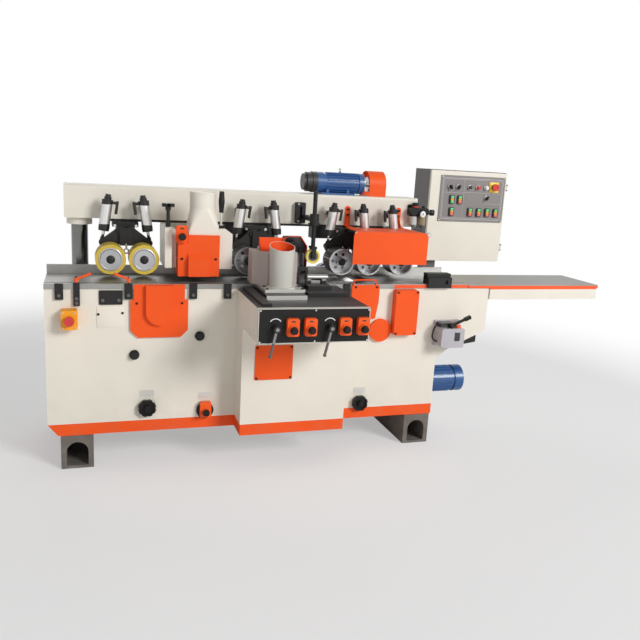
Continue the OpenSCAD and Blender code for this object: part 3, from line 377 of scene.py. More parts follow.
@dataclass(frozen=True)
class Finish:
    """A material: a coat with zones in other coats, and the record's slot for it."""

    name: str
    coat: Coat
    zones: tuple[Zone, ...] = ()
    dusty: float = 0.0
    slot: str = ""

    def material(self) -> bpy.types.Material:
        """Makes the material once.

        Returns:
            The material of this name.
        """
        label = self.name + "_coat"
        if label in bpy.data.materials:
            return bpy.data.materials[label]
        made = bpy.data.materials.new(label)
        made.use_nodes = True
        graph = Graph(made.node_tree)
        where = graph.where()
        colour, rough, height = self.coat.layers(graph, where)
        metal: Value | float = self.coat.metallic
        for zone in self.zones:
            mask = zone.mask(graph, where)
            zone_colour, zone_rough, zone_height = zone.coat.layers(graph, where)
            colour = graph.blend(mask, colour, zone_colour)
            rough = rough + (zone_rough - rough) * mask
            height = height + (zone_height - height) * mask
            metal = metal + (zone.coat.metallic - metal) * mask
        if self.dusty:
            low = 1.0 - graph.axes(where)[2].ramp(*DUST_TOP)
            dust = low * DUST.noise(graph, where).ramp(*DUST_EDGE) * self.dusty
            colour = graph.blend(dust, colour, DUST_COLOUR)
            rough = rough + dust * DUST_ROUGHNESS
        bump = graph.node("ShaderNodeBump", {}, {"Strength": BUMP_STRENGTH,
                                                 "Distance": BUMP_DISTANCE, "Height": height})
        inputs = made.node_tree.nodes["Principled BSDF"].inputs
        varying = {"Base Color": colour, "Roughness": rough, "Normal": bump}
        if isinstance(metal, Value):
            varying["Metallic"] = metal
        else:
            inputs["Metallic"].default_value = metal
        for socket, value in varying.items():
            made.node_tree.links.new(value.socket, inputs[socket])
        inputs["Specular IOR Level"].default_value = self.coat.shine
        inputs["Coat Weight"].default_value = self.coat.clear
        inputs["Coat Roughness"].default_value = CLEAR_ROUGHNESS
        return made


IVORY = Coat((0.80, 0.755, 0.66), 0.42, Grain.PAINT, wear=0.015, clear=0.05, shine=0.35)
ORANGE = Coat((0.90, 0.098, 0.012), 0.46, Grain.PAINT, wear=0.02, shine=0.22)
BLUE = Coat((0.024, 0.098, 0.285), 0.36, Grain.PAINT, wear=0.05, clear=0.2)
GREY = Coat((0.60, 0.585, 0.53), 0.42, Grain.PAINT, wear=0.02, shine=0.35)
# Painted shade: the outlet's grey paint, darkened and given a pinkish reflected tint, for the side
# hood's casing.
SHADED_HOOD_GREY = Coat((0.43, 0.37, 0.34), 0.42, Grain.PAINT, wear=0.03, shine=0.35)
DARK_GREY = Coat((0.115, 0.105, 0.10), 0.45, Grain.PAINT, wear=0.03)
FOOT_GREY = Coat((0.135, 0.12, 0.105), 0.62, Grain.CAST, wear=0.08)
BLACK_IRON = Coat((0.017, 0.016, 0.016), 0.5, Grain.CAST, wear=0.1, shine=0.3)
ARM_IRON = Coat((0.022, 0.021, 0.02), 0.5, Grain.CAST, wear=0.1, shine=0.3)
PALE_STEEL = Coat((0.74, 0.725, 0.68), 0.34, Grain.GROUND, metallic=0.6, wear=0.04)
GROUND_STEEL = Coat((0.36, 0.355, 0.34), 0.4, Grain.GROUND, metallic=1.0, wear=0.05)
DARK_STEEL = Coat((0.17, 0.165, 0.16), 0.34, Grain.GROUND, metallic=1.0, wear=0.06)
BRIGHT_STEEL = Coat((0.66, 0.65, 0.63), 0.26, Grain.TURNED, metallic=1.0, wear=0.05)
COLUMN_STEEL = Coat((0.19, 0.19, 0.185), 0.2, Grain.TURNED, metallic=1.0, wear=0.08)
ALUMINIUM = Coat((0.70, 0.69, 0.67), 0.36, Grain.TURNED, metallic=1.0, wear=0.03)
ROLLER_DISC = Coat((0.47, 0.47, 0.48), 0.34, Grain.TURNED, metallic=1.0, wear=0.08)
LEVER_STEEL = Coat((0.30, 0.29, 0.28), 0.36, Grain.TURNED, metallic=1.0, wear=0.06)
BLACK_PLASTIC = Coat((0.009, 0.0085, 0.008), 0.4, Grain.MOULDED, wear=0.06, shine=0.28)
ORANGE_PLASTIC = Coat((0.90, 0.115, 0.016), 0.4, Grain.MOULDED, wear=0.02, shine=0.25)
AMBER_PLASTIC = Coat((0.96, 0.39, 0.025), 0.42, Grain.MOULDED, wear=0.02, shine=0.18)
WHEEL_YELLOW = Coat((0.95, 0.77, 0.16), 0.4, Grain.MOULDED, wear=0.02, shine=0.3)
YELLOW_PLASTIC = Coat((0.93, 0.68, 0.05), 0.34, Grain.MOULDED, wear=0.02)
RED_PLASTIC = Coat((0.62, 0.035, 0.03), 0.3, Grain.MOULDED, wear=0.02, clear=0.2)
GREEN_PLASTIC = Coat((0.13, 0.62, 0.22), 0.32, Grain.MOULDED, wear=0.02)
PINK_PLASTIC = Coat((0.80, 0.17, 0.14), 0.32, Grain.MOULDED, wear=0.02)
WHITE_PLASTIC = Coat((0.82, 0.82, 0.80), 0.3, Grain.MOULDED, wear=0.02)
PANEL_LAMINATE = Coat((0.225, 0.205, 0.20), 0.45, Grain.MOULDED, wear=0.02)
PALE_LINE = Coat((0.50, 0.48, 0.47), 0.42, Grain.MOULDED, wear=0.02)
POLYURETHANE = Coat((0.64, 0.46, 0.05), 0.4, Grain.MOULDED, wear=0.05, shine=0.35)
CLEAR_BOWL = Coat((0.58, 0.57, 0.53), 0.16, Grain.MOULDED, wear=0.04, clear=0.4)
SMOKED_BOWL = Coat((0.30, 0.235, 0.14), 0.18, Grain.MOULDED, wear=0.05, clear=0.4)
PUMP_SHELL = Coat((0.47, 0.45, 0.48), 0.24, Grain.MOULDED, wear=0.04, clear=0.3)
DARK_GLASS = Coat((0.02, 0.02, 0.02), 0.12, Grain.MOULDED, wear=0.02, clear=0.5)

PAINT_IVORY = Finish("ivory_paint", IVORY, dusty=0.1, slot="ivory_paint")
PAINT_ORANGE = Finish("orange_paint", ORANGE, dusty=0.1, slot="orange_paint")
PAINT_BLUE = Finish("motor_blue", BLUE, slot="blue_paint")
PAINT_GREY = Finish("grey_paint", GREY, slot="grey_paint")
PAINT_DARK = Finish("dark_grey_paint", DARK_GREY, slot="dark_paint")
CASTING = Finish("foot_casting", FOOT_GREY, dusty=0.35, slot="cast_grey")
IRON = Finish("black_iron", BLACK_IRON, slot="black_iron")
ARM_CASTING = Finish("arm_casting", ARM_IRON, slot="black_iron")
STEEL_PALE = Finish("pale_plate", PALE_STEEL, slot="ground_steel")
STEEL_GROUND = Finish("ground_steel", GROUND_STEEL, slot="ground_steel")
STEEL_DARK = Finish("dark_steel", DARK_STEEL, slot="ground_steel")
STEEL_BRIGHT = Finish("bright_steel", BRIGHT_STEEL, slot="bright_steel")
STEEL_DISC = Finish("roller_disc", ROLLER_DISC, slot="bright_steel")
PLASTIC_BLACK = Finish("black_plastic", BLACK_PLASTIC, slot="black_plastic")
PLASTIC_ORANGE = Finish("orange_plastic", ORANGE_PLASTIC, slot="orange_plastic")
PLASTIC_AMBER = Finish("amber_plastic", AMBER_PLASTIC, slot="yellow_plastic")
PLASTIC_YELLOW = Finish("yellow_plastic", YELLOW_PLASTIC, slot="yellow_plastic")
PLASTIC_RED = Finish("red_plastic", RED_PLASTIC, slot="red_plastic")
PLASTIC_GREEN = Finish("green_plastic", GREEN_PLASTIC, slot="panel_plastic")
PLASTIC_PINK = Finish("pink_plastic", PINK_PLASTIC, slot="red_plastic")
PLASTIC_WHITE = Finish("white_plastic", WHITE_PLASTIC, slot="panel_plastic")
LINE = Finish("pale_line", PALE_LINE, slot="panel_plastic")
GLASS_DARK = Finish("dark_glass", DARK_GLASS, slot="black_plastic")


def paint(finish: Finish, *nodes: str) -> None:
    """Gives CAD nodes a finish.

    Args:
        finish: the finish.
        nodes: names of CAD nodes.
    """
    for name in nodes:
        slots = frame["nodes"][name].data.materials
        slots.clear()
        slots.append(finish.material())


# Meshes


class Maker:
    """Collects simple solids in one mesh, in machine millimetres, and turns them into a piece."""

    def __init__(self) -> None:
        """Starts with an empty mesh."""
        self.mesh = bmesh.new()

    def _soften(self, verts: list, width: float) -> None:
        """Rounds the edges of the solid that was just added.

        Args:
            verts: the solid's corners.
            width: radius of the edges, or 0 to leave them.
        """
        if width <= 0.0:
            return
        edges = {e for v in verts for e in v.link_edges if e.calc_face_angle(0.0) > EDGE_ANGLE}
        bmesh.ops.bevel(self.mesh, geom=list(edges), offset=width, segments=EDGE_STEPS,
                        affect="EDGES", profile=0.5)

    def block(self, low: Point, high: Point, round_by: float = 0.0) -> "Maker":
        """Adds a block between two corners.

        Args:
            low: lowest corner.
            high: highest corner.
            round_by: radius of its edges.

        Returns:
            This maker.
        """
        size = [h - l for l, h in zip(low, high)]
        middle = [(h + l) / 2.0 for l, h in zip(low, high)]
        matrix = Matrix.Translation(middle) @ Matrix.Diagonal((*size, 1.0))
        made = bmesh.ops.create_cube(self.mesh, size=1.0, matrix=matrix)
        self._soften(made["verts"], round_by)
        return self

    def rod(self, start: Point, end: Point, radius: float, end_radius: float | None = None,
            sides: int = 28) -> "Maker":
        """Adds a round bar or a cone between two points.

        Args:
            start: middle of the first end.
            end: middle of the second end.
            radius: radius at the start.
            end_radius: radius at the end, if it differs.
            sides: sides of the circle.

        Returns:
            This maker.
        """
        axis = Vector(end) - Vector(start)
        turn = axis.to_track_quat("Z", "Y").to_matrix().to_4x4()
        matrix = Matrix.Translation((Vector(start) + Vector(end)) / 2.0) @ turn
        bmesh.ops.create_cone(self.mesh, cap_ends=True, segments=sides, radius1=radius,
                              radius2=radius if end_radius is None else end_radius,
                              depth=axis.length, matrix=matrix)
        return self

    def ring(self, centre: Point, radius: float, thick: float, steps: int = 24,
             sides: int = 10) -> "Maker":
        """Adds an upright ring that faces the operator.

        Args:
            centre: its middle.
            radius: radius of the ring's middle line.
            thick: radius of its bar.
            steps: steps round the ring.
            sides: sides of the bar.

        Returns:
            This maker.
        """
        loops = []
        for i in range(steps):
            a = 2.0 * math.pi * i / steps
            loop = []
            for j in range(sides):
                b = 2.0 * math.pi * j / sides
                reach = radius + thick * math.cos(b)
                spot = (centre[0] + reach * math.cos(a), centre[1] + thick * math.sin(b),
                        centre[2] + reach * math.sin(a))
                loop.append(self.mesh.verts.new(spot))
            loops.append(loop)
        faces = []
        for i in range(steps):
            for j in range(sides):
                corners = (loops[i - 1][j - 1], loops[i - 1][j], loops[i][j], loops[i][j - 1])
                faces.append(self.mesh.faces.new(corners))
        bmesh.ops.recalc_face_normals(self.mesh, faces=faces)
        return self

    def slab(self, outline: Sequence[Flat], front: float, back: float,
             round_by: float = 0.0) -> "Maker":
        """Adds a plate with an outline in X and Z.

        Args:
            outline: corners, in order round the plate.
            front: y of its front.
            back: y of its back.
            round_by: radius of its edges.

        Returns:
            This maker.
        """
        near = [self.mesh.verts.new((x, front, z)) for x, z in outline]
        far = [self.mesh.verts.new((x, back, z)) for x, z in outline]
        faces = [self.mesh.faces.new(near), self.mesh.faces.new(far[::-1])]
        count = len(outline)
        for i in range(count):
            j = (i + 1) % count
            faces.append(self.mesh.faces.new((near[j], near[i], far[i], far[j])))
        bmesh.ops.recalc_face_normals(self.mesh, faces=faces)
        self._soften(near + far, round_by)
        return self

    def lathe(self, profile: Sequence[Flat], centre: Point, axis: Point = TO_OPERATOR,
              sides: int = 24) -> "Maker":
        """Adds a turned solid.

        Args:
            profile: radius and height pairs along the axis, from one end to the other.
            centre: where height 0 is.
            axis: direction of rising height.
            sides: sides of the circle.

        Returns:
            This maker.
        """
        turn = Vector(axis).to_track_quat("Z", "Y").to_matrix()
        rings = []
        for radius, height in profile:
            ring = []
            for i in range(sides):
                a = 2.0 * math.pi * i / sides
                local = Vector((radius * math.cos(a), radius * math.sin(a), height))
                ring.append(self.mesh.verts.new(Vector(centre) + turn @ local))
            rings.append(ring)
        faces = [self.mesh.faces.new(rings[0][::-1]), self.mesh.faces.new(rings[-1])]
        for lower, upper in zip(rings, rings[1:]):
            for i in range(sides):
                j = (i + 1) % sides
                faces.append(self.mesh.faces.new((lower[i], lower[j], upper[j], upper[i])))
        bmesh.ops.recalc_face_normals(self.mesh, faces=faces)
        return self

    def piece(self, name: str, finish: Finish, body: str) -> None:
        """Turns the mesh into a piece of the object.

        Args:
            name: the piece's name.
            finish: its finish.
            body: the CAD body that it rides on.
        """
        for vert in self.mesh.verts:
            vert.co = place(vert.co)
        mesh = bpy.data.meshes.new(name)
        self.mesh.to_mesh(mesh)
        self.mesh.free()
        finish_piece(mesh, name, finish, body)


def finish_piece(mesh: bpy.types.Mesh, name: str, finish: Finish, body: str) -> None:
    """Shades a mesh and hangs it on a body.

    Args:
        mesh: a mesh in the shared frame.
        name: the piece's name.
        finish: its finish.
        body: the CAD body that it rides on.
    """
    mesh.materials.clear()
    mesh.materials.append(finish.material())
    mesh.polygons.foreach_set("use_smooth", [True] * len(mesh.polygons))
    mesh.set_sharp_from_angle(angle=SHARP_ANGLE)
    obj = bpy.data.objects.new(name, mesh)
    bpy.context.scene.collection.objects.link(obj)
    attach(obj, body)
    log.info("%s: %d faces on %s", name, len(mesh.polygons), body)


def arc(centre: Flat, radius: float, start: float, end: float, steps: int) -> list[Flat]:
    """Points on an arc in X and Z.

    Args:
        centre: its middle.
        radius: its radius.
        start: first angle in degrees, from +X towards +Z.
        end: last angle in degrees.
        steps: number of steps.

    Returns:
        The points in order.
    """
    angles = [math.radians(start + (end - start) * i / steps) for i in range(steps + 1)]
    return [(centre[0] + radius * math.cos(a), centre[1] + radius * math.sin(a)) for a in angles]


def round_plate(low: Flat, high: Flat, radius: float) -> list[Flat]:
    """Outline of a plate with round corners.

    Args:
        low: left and bottom.
        high: right and top.
        radius: radius of the corners.

    Returns:
        The corners in order.
    """
    left, bottom = low[0] + radius, low[1] + radius
    right, top = high[0] - radius, high[1] - radius
    outline = []
    for quarter, centre in enumerate(((right, top), (left, top), (left, bottom), (right, bottom))):
        outline += arc(centre, radius, 90 * quarter, 90 * quarter + 90, 5)
    return outline


# Geometry Nodes

HEAD_SIDES = 16
SOCKET_WIDTH = 0.55
SOCKET_DEPTH = 0.6
TUBE_SIDES = 12
BEND_STEPS = 6
THREAD_SIDES = 18
THREAD_CREST = 0.82


class Pattern:
    """A Geometry Nodes tree with named inputs, which turns a guide mesh into a plain piece."""

    def __init__(self, name: str, inputs: dict[str, float]) -> None:
        """Starts the tree.

        Args:
            name: the tree's name.
            inputs: named sizes and their usual values.
        """
        self.tree = bpy.data.node_groups.new(name, "GeometryNodeTree")
        face = self.tree.interface
        face.new_socket("Geometry", in_out="INPUT", socket_type="NodeSocketGeometry")
        self.ids: dict[str, str] = {}
        for label, usual in inputs.items():
            socket = face.new_socket(label, in_out="INPUT", socket_type="NodeSocketFloat")
            socket.default_value = usual
            self.ids[label] = socket.identifier
        material = face.new_socket("Finish", in_out="INPUT", socket_type="NodeSocketMaterial")
        self.ids["Finish"] = material.identifier
        face.new_socket("Geometry", in_out="OUTPUT", socket_type="NodeSocketGeometry")
        self.graph = Graph(self.tree)
        self.start = self.graph.node("NodeGroupInput")

    def given(self, label: str) -> Value:
        """A named input of the tree."""
        return self.graph.other(self.start, label)

    def close(self, geometry: Value) -> None:
        """Ends the tree in real meshes with the finish on them.

        Args:
            geometry: what the tree has made.
        """
        real = self.graph.node("GeometryNodeRealizeInstances", {}, {"Geometry": geometry})
        dressed = self.graph.node("GeometryNodeSetMaterial", {},
                                  {"Geometry": real, "Material": self.given("Finish")})
        self.graph.node("NodeGroupOutput", {}, {0: dressed})

    def piece(self, name: str, guide: bpy.types.Mesh, finish: Finish, body: str,
              **sizes: float) -> None:
        """Runs the tree on a guide mesh and keeps the result as a plain piece.

        Args:
            name: the piece's name.
            guide: points or edges in the shared frame.
            finish: its finish.
            body: the CAD body that it rides on.
            sizes: inputs in millimetres by label, with _ for a space.
        """
        holder = bpy.data.objects.new(name + "_guide", guide)
        bpy.context.scene.collection.objects.link(holder)
        modifier = holder.modifiers.new("pattern", "NODES")
        modifier.node_group = self.tree
        for label, size in sizes.items():
            modifier[self.ids[label.replace("_", " ")]] = size * MM
        modifier[self.ids["Finish"]] = finish.material()
        bpy.context.view_layer.update()
        evaluated = holder.evaluated_get(bpy.context.evaluated_depsgraph_get())
        mesh = bpy.data.meshes.new_from_object(evaluated)
        holder.modifiers.remove(modifier)
        bpy.data.objects.remove(holder)
        mesh.name = name
        finish_piece(mesh, name, finish, body)


def point_guide(points: Sequence[Point], facing: Point = TO_OPERATOR) -> bpy.types.Mesh:
    """Makes a guide of points that know which way they face.

    Args:
        points: places in machine millimetres.
        facing: outward direction of them all.

    Returns:
        A mesh of loose points with an attribute named facing.
    """
    mesh = bpy.data.meshes.new("points")
    mesh.from_pydata([place(p) for p in points], [], [])
    attribute = mesh.attributes.new("facing", "FLOAT_VECTOR", "POINT")
    attribute.data.foreach_set("vector", list(facing) * len(points))
    return mesh


def path_guide(corners: Sequence[Point]) -> bpy.types.Mesh:
    """Makes a guide of one open path.

    Args:
        corners: its corners in order, in machine millimetres.

    Returns:
        A mesh of edges.
    """
    mesh = bpy.data.meshes.new("path")
    edges = [(i, i + 1) for i in range(len(corners) - 1)]
    mesh.from_pydata([place(p) for p in corners], edges, [])
    return mesh


def screw_pattern() -> Pattern:
    """Socket head screws, one at each point, standing along its facing.

    Returns:
        The pattern.
    """
    made = Pattern("socket_screws", {"Head Radius": 0.006, "Head Height": 0.005})
    graph, tall = made.graph, made.given("Head Height")
    head = graph.node("GeometryNodeMeshCylinder", {},
                      {"Vertices": HEAD_SIDES, "Radius": made.given("Head Radius"), "Depth": tall})
    top = graph.node("GeometryNodeExtrudeMesh", {"mode": "FACES"},
                     {"Mesh": head, "Selection": graph.other(head, "Top"), "Offset Scale": 0.0})
    socket = graph.other(top, "Top")
    well = graph.node("GeometryNodeScaleElements", {},
                      {"Geometry": top, "Selection": socket, "Scale": SOCKET_WIDTH})
    sunk = graph.node("GeometryNodeExtrudeMesh", {"mode": "FACES"},
                      {"Mesh": well, "Selection": socket, "Offset Scale": tall * -SOCKET_DEPTH})
    facing = graph.node("GeometryNodeInputNamedAttribute", {"data_type": "FLOAT_VECTOR"},
                        {"Name": "facing"})
    turn = graph.node("FunctionNodeAlignRotationToVector", {"axis": "Z"}, {"Vector": facing})
    made.close(graph.node("GeometryNodeInstanceOnPoints", {},
                          {"Points": made.start, "Instance": sunk, "Rotation": turn}))
    return made


def tube_pattern() -> Pattern:
    """Round tubes along the guide's path, with rounded corners.

    Returns:
        The pattern.
    """
    made = Pattern("tubes", {"Radius": 0.004, "Bend": 0.02})
    graph = made.graph
    curve = graph.node("GeometryNodeMeshToCurve", {}, {"Mesh": made.start})
    bent = graph.node("GeometryNodeFilletCurve", {"mode": "POLY"},
                      {"Curve": curve, "Radius": made.given("Bend"), "Limit Radius": True,
                       "Count": BEND_STEPS})
    ring = graph.node("GeometryNodeCurvePrimitiveCircle", {},
                      {"Resolution": TUBE_SIDES, "Radius": made.given("Radius")})
    made.close(graph.node("GeometryNodeCurveToMesh", {},
                          {"Curve": bent, "Profile Curve": ring, "Fill Caps": True}))
    return made


def bar_pattern() -> Pattern:
    """Flat bars, one at each point, for ventilation slots.

    Returns:
        The pattern.
    """
    made = Pattern("slots", {"Across": 0.05, "Deep": 0.002, "Tall": 0.006})
    graph = made.graph
    size = graph.node("ShaderNodeCombineXYZ", {}, {0: made.given("Across"), 1: made.given("Deep"),
                                                   2: made.given("Tall")})
    bar = graph.node("GeometryNodeMeshCube", {}, {"Size": size})
    made.close(graph.node("GeometryNodeInstanceOnPoints", {},
                          {"Points": made.start, "Instance": bar}))
    return made


def thread_pattern() -> Pattern:
    """A stack of rings round an upright rod, one at each point.

    Returns:
        The pattern.
    """
    made = Pattern("thread", {"Radius": 0.006, "Pitch": 0.003})
    graph, radius = made.graph, made.given("Radius")
    ring = graph.node("GeometryNodeMeshCone", {},
                      {"Vertices": THREAD_SIDES, "Radius Top": radius * THREAD_CREST,
                       "Radius Bottom": radius, "Depth": made.given("Pitch")})
    made.close(graph.node("GeometryNodeInstanceOnPoints", {},
                          {"Points": made.start, "Instance": ring}))
    return made


@dataclass
class Workshop:
    """The patterns and small turned parts that the sub-assemblies share."""

    screws: Pattern = field(default_factory=screw_pattern)
    tubes: Pattern = field(default_factory=tube_pattern)
    bars: Pattern = field(default_factory=bar_pattern)
    thread: Pattern = field(default_factory=thread_pattern)
    knob: tuple[Flat, ...] = ((15, 0), (17, 3), (17, 10), (14.5, 13), (14, 22), (11, 25))
    knob_sides: int = 20
    screw_height: float = 0.8

    def front_screws(self, name: str, places: Sequence[Point], radius: float, body: str,
                     finish: Finish = PLASTIC_BLACK) -> None:
        """Puts screw heads on faces that look towards the operator.

        Args:
            name: the piece's name.
            places: middles of the heads.
            radius: radius of a head.
            body: the CAD body that they ride on.
            finish: their finish.
        """
        self.screws.piece(name, point_guide(places), finish, body, Head_Radius=radius,
                          Head_Height=radius * self.screw_height)

    def vents(self, name: str, places: Sequence[Point], size: Point) -> None:
        """Puts dark ventilation slots on the standing parts.

        Args:
            name: the piece's name.
            places: middles of the slots.
            size: size of one slot along X, Y and Z.
        """
        self.bars.piece(name, point_guide(places), PLASTIC_BLACK, "base", Across=size[0],
                        Deep=size[1], Tall=size[2])

    def add_knob(self, maker: Maker, centre: Point) -> None:
        """Adds a counter's knob that points towards the operator."""
        maker.lathe(self.knob, centre, TO_OPERATOR, self.knob_sides)


# Sub-assemblies


@dataclass
class BaseUnit:
    """Feet, sill, cabinets, table, fence and the fittings on their front and back."""

    shop: Workshop
    fence_head_x: float = 1240.0
    fence_head_y: float = 352.0
    fence_head_top: float = 1001.0
    inspection_plate: tuple[Flat, Flat] = ((223, 687), (344, 791))
    bare_plates: tuple[Flat, ...] = ((447, 362), (725, 340), (1539, 326))
    bare_plate_half: Flat = (33, 16)
    clamp_screws: tuple[Point, ...] = (
        (64.0, -16.5, 842.0), (363.0, -16.5, 842.0), (658.0, -16.5, 842.0), (821.0, -16.5, 842.0),
        (1428.0, -16.5, 842.0), (138.0, -16.5, 808.0), (138.0, -16.5, 828.0), (250.0, -8.0, 818.0),
        (321.0, -8.0, 818.0))
    cover_screws: tuple[Point, ...] = (
        (400.0, -12.5, 803.0), (606.0, -12.5, 803.0), (1475.0, -12.5, 878.0),
        (1590.0, -12.5, 878.0), (1698.0, -47.0, 640.0), (1698.0, -47.0, 856.0),
        (1806.0, -47.0, 640.0), (1806.0, -47.0, 856.0), (945.0, -146.0, 460.0),
        (945.0, -146.0, 612.0), (1113.0, -146.0, 460.0), (1113.0, -146.0, 612.0),
        (230.0, -4.0, 752.0), (337.0, -4.0, 757.0))
    stop_screws: tuple[Point, ...] = (
        (81.0, -61.0, 704.0), (81.0, -61.0, 772.0), (131.0, -61.0, 704.0), (131.0, -61.0, 772.0))
    wheels: tuple[Flat, ...] = ((447.0, 293.0), (1539.0, 258.0))
    wheel_face: float = -30.6
    handle: tuple[Point, ...] = (
        (1462, -9, 885), (1462, -9, 915), (1585, -9, 915), (1585, -9, 885))
    hood_shade_back: tuple[Flat, ...] = (
        (1166, 868), (1334, 868), (1334, 1034), (1300, 1083), (1200, 1083), (1166, 1034))
    rear_y: float = 700.0
    door_xs: tuple[Flat, ...] = ((90, 900), (1000, 1810))
    door_zs: Flat = (270, 800)
    vent_xs: tuple[float, ...] = (495.0, 1405.0)
    lock_xs: tuple[float, ...] = (850.0, 1050.0)

    def dress(self) -> None:
        """Paints the CAD nodes."""
        paint(CASTING, "machine_feet")
        paint(PAINT_ORANGE, "base_sill", "front_covers")
        paint(PAINT_IVORY, "base_cabinet")
        edge = Zone(ORANGE, low=(1690.0, -40.0, 872.0), high=(2130.0, -4.0, 889.0))
        paint(Finish("table_steel", GROUND_STEEL, (edge,)), "work_table")
        paint(STEEL_GROUND, "guide_fence")
        post = Zone(DARK_GREY, low=(600.0, 600.0, 0.0), high=(800.0, 720.0, 1400.0))
        paint(Finish("columns", COLUMN_STEEL, (post,)), "guide_columns")
        paint(IRON, "table_clamps")
        paint(PAINT_BLUE, "base_motors")
        paint(Finish("stop_box_amber", AMBER_PLASTIC), "stop_box")
        paint(PLASTIC_RED, "side_stop_button")
        paint(PLASTIC_ORANGE, "clamp_lever_left", "clamp_lever_right")
        paint(PLASTIC_BLACK, "handwheel_left", "handwheel_right")
        # Painted shade: the fence cutterhead is bright steel, given dark steel for the shade inside
        # its hood; the spindle above it is black iron.
        spindle = Zone.above(BLACK_IRON, self.fence_head_top + 0.5)
        paint(Finish("fence_head_shaded_steel", DARK_STEEL, (spindle,)), "fence_cutterhead")
        paint(STEEL_BRIGHT, "bottom_cutterhead")

    def build(self) -> None:
        """Adds plates, screws, wheel caps, the shield's handle and a black back plate in the fence
        hood, which is partly painted shade for the hood's dark inside.
        """
        plate = Maker().slab(round_plate(*self.inspection_plate, 4), -2.5, 0.5, 0.6)
        plate.piece("inspection_plate", PAINT_IVORY, "base")
        plates = Maker()
        wide, tall = self.bare_plate_half
        for x, z in self.bare_plates:
            plates.slab(round_plate((x - wide, z - tall), (x + wide, z + tall), 2), -1.6, 0.5)
        plates.piece("bare_plates", STEEL_PALE, "base")
        self.shop.front_screws("clamp_screws", self.clamp_screws, 7.5, "base", STEEL_DARK)
        self.shop.front_screws("cover_screws", self.cover_screws, 5.5, "base")
        self.shop.front_screws("stop_box_screws", self.stop_screws, 3.5, "base", STEEL_BRIGHT)
        caps = Maker()
        for x, z in self.wheels:
            caps.lathe([(13, 0), (13, 4), (10.5, 6.5)], (x, self.wheel_face, z))
        caps.piece("wheel_caps", PLASTIC_BLACK, "base")
        self.shop.tubes.piece("shield_handle", path_guide(self.handle), PAINT_ORANGE, "base",
                              Radius=4.0, Bend=12.0)
        # Black plate filling the fence hood's arch: partly a back to the hood, partly painted shade
        # for its dark inside.
        back = Maker().slab(self.hood_shade_back, 416.0, 420.0, 0.6)
        back.piece("fence_hood_shade_back", IRON, "base")
        nut = Maker().lathe([(13, 0), (24, 1), (24, 34), (18, 38), (18, 52), (15, 55)],
                            (self.fence_head_x, self.fence_head_y, self.fence_head_top), UP)
        nut.piece("fence_spindle_nut", IRON, "fence_cutter")
        self.rear_doors()

    def rear_doors(self) -> None:
        """Adds two service doors with ventilation slots and locks to the back."""
        doors = Maker()
        bottom, top = self.door_zs
        for left, right in self.door_xs:
            outline = round_plate((left, bottom), (right, top), 8)
            doors.slab(outline, self.rear_y - 0.5, self.rear_y + 3.0, 0.8)
        doors.piece("rear_doors", PAINT_IVORY, "base")
        slots = [(x + dx, self.rear_y + 3.2, 700.0 + 14.0 * i) for x in self.vent_xs
                 for dx in (-120.0, 0.0, 120.0) for i in range(6)]
        self.shop.vents("rear_vents", slots, (90.0, 1.0, 6.0))
        locks = [(x, self.rear_y + 4.0, 520.0) for x in self.lock_xs]
        self.shop.screws.piece("rear_locks", point_guide(locks, TO_BACK), PLASTIC_BLACK, "base",
                               Head_Radius=16.0, Head_Height=10.0)


